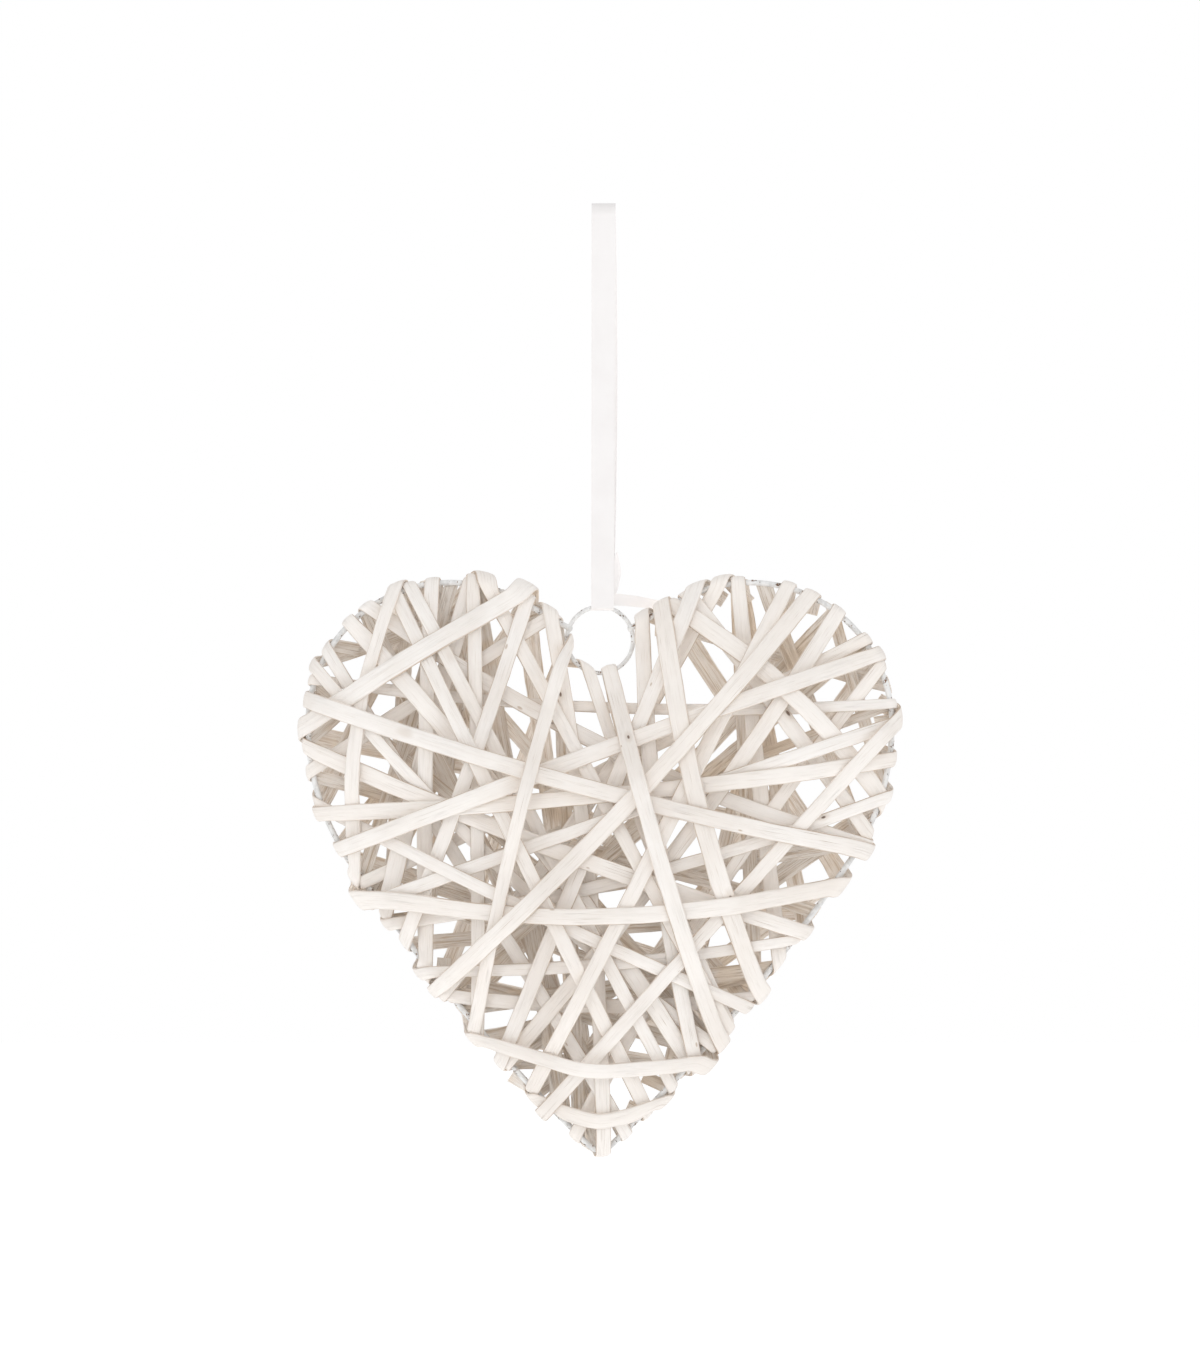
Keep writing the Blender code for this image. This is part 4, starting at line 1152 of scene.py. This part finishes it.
def roundedCourse(sections):
    # the straight pieces of the course are joined by short bends
    rows = np.array([np.concatenate(section) for section in sections])
    thinner = (willow["stripThickness"] + willow["wrapThickness"]) / 2
    folded = np.linalg.norm(rows[:, 6:9], axis=1) < thinner
    rows[folded, 3:6] *= stripShape["foldWidth"]
    lengths = np.linalg.norm(np.diff(rows[:, :3], axis=0), axis=1)
    cuts = np.minimum(stripShape["cornerShare"], stripShape["roundest"] / lengths)
    course = [rows[0]]
    for index in range(1, len(rows) - 1):
        before, after = cuts[index - 1 : index + 1]
        enter = rows[index] + (rows[index - 1] - rows[index]) * before
        leave = rows[index] + (rows[index + 1] - rows[index]) * after
        for share in np.linspace(0, 1, stripShape["cornerPoints"]):
            middle = rows[index] * 2 * share * (1 - share)
            course.append(enter * (1 - share) ** 2 + middle + leave * share ** 2)
    course.append(rows[-1])
    course = np.array(course)
    run = runOf(course[:, :3])
    piece = stripShape["finePiece"]
    fine = np.linspace(0, run[-1], round(run[-1] / piece) + 1)
    line = np.stack([np.interp(fine, run, course[:, column]) for column in range(3)], axis=1)
    bend = np.linalg.norm(np.gradient(unitRows(np.gradient(line, axis=0)), axis=0), axis=1) / piece
    shape = np.hanning(stripShape["bendWindow"])
    bend = np.convolve(bend, shape / shape.sum(), mode="same")
    density = 1 / stripShape["step"] + stripShape["bendSampling"] * bend
    rings = np.concatenate([[0], np.cumsum((density[1:] + density[:-1]) / 2 * np.diff(fine))])
    at = np.interp(np.linspace(0, rings[-1], round(rings[-1]) + 1), rings, fine)
    return np.stack([np.interp(at, run, course[:, column]) for column in range(9)], axis=1), at


def ringsOf(course, steps, rng):
    # the strip's rings of vertices: over the crown from edge to edge, and back along the underside
    centres, reaches, ups = course[:, :3], course[:, 3:6], course[:, 6:9]
    upright = unitRows(np.cross(unitRows(np.gradient(centres, axis=0)), reaches))
    upright *= np.sign((upright * ups).sum(axis=1))[:, None]
    thick = willow["stripThickness"] * (1 + wander(rng, steps, *stripShape["thicknessWander"]))
    wide = 1 + wander(rng, steps, *stripShape["widthWander"])
    nibble = [wander(rng, steps, *stripShape["edgeNibble"]) for side in range(2)]
    rings = []
    for x, rise in stripShape["crown"]:
        lift = rise * thick + wander(rng, steps, *stripShape["fibreRelief"]) * rise
        across = x * (wide + (nibble[0] if x < 0 else nibble[1]) * abs(x) ** 3)
        rings.append(centres + reaches * across[:, None] + upright * lift[:, None])
    for x in stripShape["underside"]:
        relief = np.abs(wander(rng, steps, *stripShape["undersideRelief"]))
        rings.append(centres + reaches * (x * wide)[:, None] + upright * relief[:, None])
    return np.stack(rings, axis=1)


def addValues(mesh, name, domain, values):
    layer = mesh.attributes.new(name, "FLOAT", domain)
    layer.data.foreach_set("value", np.array(values, np.float32))


def buildStrip(number, sections):
    name = f"willowStrip{number:02d}"
    rng = np.random.default_rng(stripShape["seed"] + number)
    course, at = roundedCourse(sections)
    steps = at / stripShape["step"]
    rings = ringsOf(course, steps, rng)
    columns = np.array([x for x, rise in stripShape["crown"]] + list(stripShape["underside"]))
    count, around = rings.shape[:2]
    tops = len(stripShape["crown"])
    arcs = np.concatenate([[0], np.cumsum(np.linalg.norm(np.diff(rings, axis=1), axis=2).mean(axis=0))])
    arcs = np.append(arcs, arcs[-1] + np.linalg.norm(rings[:, -1] - rings[:, 0], axis=1).mean())
    perMetre = stripShape["perMetre"]
    shift = stripShape["textureShift"] * number
    faces = []
    uvs = []
    kinds = []
    for row in range(count - 1):
        this, that = row * around, (row + 1) * around
        near, far = at[row] * perMetre + shift, at[row + 1] * perMetre + shift
        for column in range(around):
            follow = (column + 1) % around
            faces.append((this + column, this + follow, that + follow, that + column))
            low, high = arcs[column] * perMetre, arcs[column + 1] * perMetre
            uvs += [(low, near), (high, near), (high, far), (low, far)]
            kinds += [0.0 if column < tops - 1 else 1.0] * 4
    endAcross, endStep = stripShape["endTexture"]
    for row, order in ((0, range(around - 1, -1, -1)), (count - 1, range(around))):
        ring = [row * around + column for column in order]
        faces.append(tuple(ring))
        uvs += [(columns[vertex % around] * endAcross, shift + endStep * vertex) for vertex in ring]
        kinds += [0.5] * around
    mesh = bpy.data.meshes.new(name)
    mesh.from_pydata(rings.reshape(-1, 3).tolist(), [], faces)
    layer = mesh.uv_layers.new(name="fibreWay")
    layer.data.foreach_set("uv", np.array(uvs, np.float32).ravel())
    addValues(mesh, "faceKind", "CORNER", kinds)
    addValues(mesh, "edgeNearness", "POINT", np.tile(np.abs(columns), count))
    tone = rng.uniform(0.0, stripShape["mostTone"]) + wander(rng, steps, *stripShape["toneWander"])
    tone = np.clip(tone, 0, 1)
    addValues(mesh, "stripTone", "POINT", np.repeat(tone, around))
    return closeUp(placed(name, mesh), willowMaterial)


def choose(*pieces):
    # these pieces alone are selected, and the first one is active
    bpy.ops.object.select_all(action="DESELECT")
    for piece in pieces:
        piece.select_set(True)
    bpy.context.view_layer.objects.active = pieces[0]


def settle():
    bpy.ops.object.transform_apply(location=True, rotation=True, scale=True)


def modify(piece, kind, **settings):
    # adds a modifier to the active piece and applies it
    step = piece.modifiers.new(kind, kind)
    for key, value in settings.items():
        setattr(step, key, value)
    bpy.ops.object.modifier_apply(modifier=step.name)


def closeUp(piece, material):
    # its material, normals outwards, smooth crown and sharp cut ends and edges
    piece.data.materials.append(material)
    choose(piece)
    bpy.ops.object.mode_set(mode="EDIT")
    bpy.ops.mesh.select_all(action="SELECT")
    bpy.ops.mesh.normals_make_consistent(inside=False)
    bpy.ops.object.mode_set(mode="OBJECT")
    bpy.ops.object.shade_smooth_by_angle(angle=stripShape["sharpAngle"])
    piece.select_set(False)
    return piece


for number, (backStart, first, second) in enumerate(winding, 1):
    sections = stripSections(backStart, first, second, (number - 1) / len(winding))
    strip = buildStrip(number, sections)
    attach(strip, "root")
    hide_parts(f"willow_strip_{number:02d}")
print("willow strips are wound")


# Bent wire and ring
wireShape = {
    "roundness": 5,  # bevel resolution
    "piece": 0.0025,
    "tipPiece": 0.0007,
    "wander": (0.00010, 9),  # how much, and over how many pieces
    "steadyEnds": 12,  # pieces
    "seed": 7,
    "beadRadius": 0.0015,
    "beadStretch": (1.0, 0.82, 1.12),
    "beadPieces": (20, 12),  # round it and from top to bottom
    "ringPieces": (96, 14),  # round the ring and round its wire
    "paintClouds": 0.004,
    "paintUnevenness": 0.00012,
}


def addBead(place):
    size = wireShape["beadRadius"]
    segments, rows = wireShape["beadPieces"]
    bpy.ops.mesh.primitive_uv_sphere_add(segments=segments, ring_count=rows, radius=size, location=place)
    bpy.ops.object.mode_set(mode="EDIT")
    bpy.ops.mesh.select_all(action="SELECT")
    bpy.ops.transform.resize(value=wireShape["beadStretch"])
    bpy.ops.object.mode_set(mode="OBJECT")
    return bpy.context.object


def buildWire():
    half = rightHalf(wireShape["piece"], wireShape["tipPiece"])
    left = half * np.array([-1, 1])
    points = np.vstack([left, half[::-1][1:]])
    bpy.ops.object.select_all(action="DESELECT")
    bpy.ops.curve.primitive_bezier_curve_add(location=(0, 0, 0))
    wire = bpy.context.object
    curve = wire.data
    curve.splines.clear()
    curve.dimensions = "3D"
    curve.bevel_depth = heartWire["wireDiameter"] / 2
    curve.bevel_resolution = wireShape["roundness"]
    curve.use_fill_caps = True
    spline = curve.splines.new("POLY")
    spline.points.add(len(points) - 1)
    rng = np.random.default_rng(wireShape["seed"])
    pieces = np.arange(len(points))
    sideways, forwards = (wander(rng, pieces, *wireShape["wander"]) for axis in range(2))
    steady = wireShape["steadyEnds"]
    for index, (x, z) in enumerate(points):
        fade = min(1, index / steady, (len(points) - 1 - index) / steady)
        spline.points[index].co = (x + sideways[index] * fade, forwards[index] * fade, z, 1)
    bpy.ops.object.convert(target="MESH")
    choose(wire, *(addBead((x, 0, z)) for x, z in (points[0], points[-1])))
    bpy.ops.object.join()
    wire.name = wire.data.name = "heartWire"
    settle()
    wire.data.materials.clear()
    return closeUp(wire, wireMaterial)


def buildRing():
    bpy.ops.object.select_all(action="DESELECT")
    bpy.ops.mesh.primitive_torus_add(
        major_radius=ringRadius,
        minor_radius=hangingRing["ringWire"] / 2,
        major_segments=wireShape["ringPieces"][0],
        minor_segments=wireShape["ringPieces"][1],
        location=(0, 0, ringCentre[1]),
        rotation=(math.pi / 2, 0, 0),
    )
    ring = bpy.context.object
    clouds = bpy.data.textures.new("unevenPaint", "CLOUDS")
    clouds.noise_scale = wireShape["paintClouds"]
    modify(ring, "DISPLACE", texture=clouds, strength=wireShape["paintUnevenness"])
    settle()
    ring.name = "hangingRing"
    return closeUp(ring, wireMaterial)


wirePiece = buildWire()
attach(wirePiece, "root")
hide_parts("heart_wire")
ringPiece = buildRing()
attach(ringPiece, "root")
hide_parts("hanging_ring")
print("wire and ring are bent and welded")


# Ribbon
bandShape = {
    "across": 9,
    "turnPieces": (17, 13),  # at the top and at the ring
    "runPieces": 27,
    "longRun": 0.05,
    "ripple": (0.0002, 38, 1.0),  # its height, its pace and its start
    "rippleGrowth": (6, 0.05),  # how fast it grows away from both turns, and its share there
    "texture": (0.1, 10),  # the weave's measure of the whole width and of a metre
    "tailPieces": 8,
}
knotShape = {
    "centre": (0.0010, 0.0016, -0.1626),
    "size": (0.0088, 0.0042, 0.0076),
    "cuts": 3,
    "fold": (0.0004, -0.0003),  # how wide and how deep
    "softness": 3,
}
# each tail's points, its widths there and the way its width lies
tails = {
    "ribbonShortTail": (
        (
            (0.0024, 0.0030, -0.1640), (0.0052, 0.0040, -0.1600),
            (0.0068, 0.0044, -0.1530), (0.0070, 0.0042, -0.1450),
        ),
        (0.0044, 0.0046, 0.0040, 0.0006),
        (1, 0, 0),
    ),
    "ribbonLongTail": (
        (
            (0.0030, 0.0026, -0.1652), (0.0075, 0.0046, -0.1648),
            (0.0160, 0.0086, -0.1656), (0.0262, 0.0096, -0.1672),
        ),
        (0.0050, 0.0050, 0.0046, 0.0036),
        (0, 0, 1),
    ),
}


def loopRoute():
    # down the front, round the ring's top and up the back, as a belt round two circles
    topRadius = ribbonLoop["topRadius"] + ribbonLoop["thickness"] / 2
    footRadius = hangingRing["ringWire"] / 2 + laying["gap"] + ribbonLoop["thickness"] / 2
    top = -ribbonLoop["topRadius"]
    foot = -ribbonLoop["loopDrop"]
    lean = math.asin((topRadius - footRadius) / (top - foot))
    corners = []
    for radius, middle, start, end, count in (
        (topRadius, top, -lean, math.pi + lean, bandShape["turnPieces"][0]),
        (footRadius, foot, math.pi + lean, 2 * math.pi - lean, bandShape["turnPieces"][1]),
    ):
        for turn in np.linspace(start, end, count):
            corners.append((-radius * math.cos(turn), middle + radius * math.sin(turn)))
    route = []
    for index, corner in enumerate(corners):
        follow = corners[(index + 1) % len(corners)]
        route.append(corner)
        if abs(follow[1] - corner[1]) > bandShape["longRun"]:
            for share in np.linspace(0, 1, bandShape["runPieces"])[1:-1]:
                route.append(tuple(np.array(corner) * (1 - share) + np.array(follow) * share))
    return route, foot


def flatBand(name, route, widths, sideways, closed=False):
    # a cloth band laid out along a route of points, its width along sideways
    route = np.array(route, float)
    count = len(route)
    across = bandShape["across"]
    wide, perMetre = bandShape["texture"]
    run = runOf(route)
    made = bmesh.new()
    uv = made.loops.layers.uv.new("bandWay")
    shares = np.linspace(-0.5, 0.5, across)
    rows = []
    for index in range(count):
        before = route[index - 1] if closed or index else route[0]
        after = route[(index + 1) % count] if closed or index < count - 1 else route[-1]
        heading = unit(after - before)
        side = np.array(sideways, float)
        side = unit(side - (side @ heading) * heading) * widths[index]
        rows.append([made.verts.new(route[index] + side * share) for share in shares])
    for index in range(count if closed else count - 1):
        near, far = rows[index], rows[(index + 1) % count]
        here = run[index]
        there = run[index + 1] if index < count - 1 else run[-1] + np.linalg.norm(route[0] - route[-1])
        for column in range(across - 1):
            face = made.faces.new([near[column], near[column + 1], far[column + 1], far[column]])
            spots = ((column, here), (column + 1, here), (column + 1, there), (column, there))
            for loop, (step, along) in zip(face.loops, spots):
                loop[uv].uv = (step / (across - 1) * wide, along * perMetre)
    mesh = bpy.data.meshes.new(name)
    made.to_mesh(mesh)
    made.free()
    band = placed(name, mesh)
    choose(band)
    modify(band, "SUBSURF", levels=1, render_levels=1)
    modify(band, "SOLIDIFY", thickness=ribbonLoop["thickness"], offset=0)
    return closeUp(band, satinMaterial)


def buildLoop():
    route, foot = loopRoute()
    height, pace, start = bandShape["ripple"]
    growth, least = bandShape["rippleGrowth"]
    points = []
    widths = []
    for y, z in route:
        down = min(max(z / foot, 0), 1)
        x = ribbonLoop["sway"][0] + (ribbonLoop["sway"][1] - ribbonLoop["sway"][0]) * down
        if y > 0:
            x += ribbonLoop["rearShift"] * math.sin(math.pi * down)
        ripple = height * math.sin(pace * z + start) * min(1, growth * down * (1 - down) + least)
        points.append((x, y + ripple, z))
        widths.append(ribbonLoop["width"] + (ribbonLoop["widthAtRing"] - ribbonLoop["width"]) * down)
    return flatBand("ribbonLoopBand", points, widths, (1, 0, 0), True)


def smoothRoute(points):
    points = np.array(points, float)
    padded = np.vstack([2 * points[0] - points[1], points, 2 * points[-1] - points[-2]])
    made = []
    for index in range(1, len(padded) - 2):
        for share in np.linspace(0, 1, bandShape["tailPieces"], endpoint=False):
            made.append(between(*padded[index - 1 : index + 3], share))
    made.append(points[-1])
    return np.array(made)


def buildTail(name):
    points, widths, sideways = tails[name]
    route = smoothRoute(points)
    wide = np.interp(np.linspace(0, 1, len(route)), np.linspace(0, 1, len(widths)), widths)
    return flatBand(name, route, wide, sideways)


def buildKnot():
    bpy.ops.object.select_all(action="DESELECT")
    bpy.ops.mesh.primitive_cube_add(size=1, location=knotShape["centre"])
    knot = bpy.context.object
    knot.name = "ribbonKnot"
    bpy.ops.object.mode_set(mode="EDIT")
    bpy.ops.transform.resize(value=knotShape["size"])
    bpy.ops.mesh.subdivide(number_cuts=knotShape["cuts"])
    thickness, depth = knotShape["fold"]
    bpy.ops.mesh.inset(thickness=thickness, depth=depth, use_even_offset=True)
    bpy.ops.object.mode_set(mode="OBJECT")
    settle()
    modify(knot, "SUBSURF", levels=knotShape["softness"], render_levels=knotShape["softness"])
    knot.data.uv_layers.active.name = "bandWay"
    return closeUp(knot, satinMaterial)


loopPiece = buildLoop()
knotPiece = buildKnot()
shortTail = buildTail("ribbonShortTail")
longTail = buildTail("ribbonLongTail")
for piece in (loopPiece, knotPiece, shortTail, longTail):
    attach(piece, "root")
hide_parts("ribbon")
print("ribbon is tied")
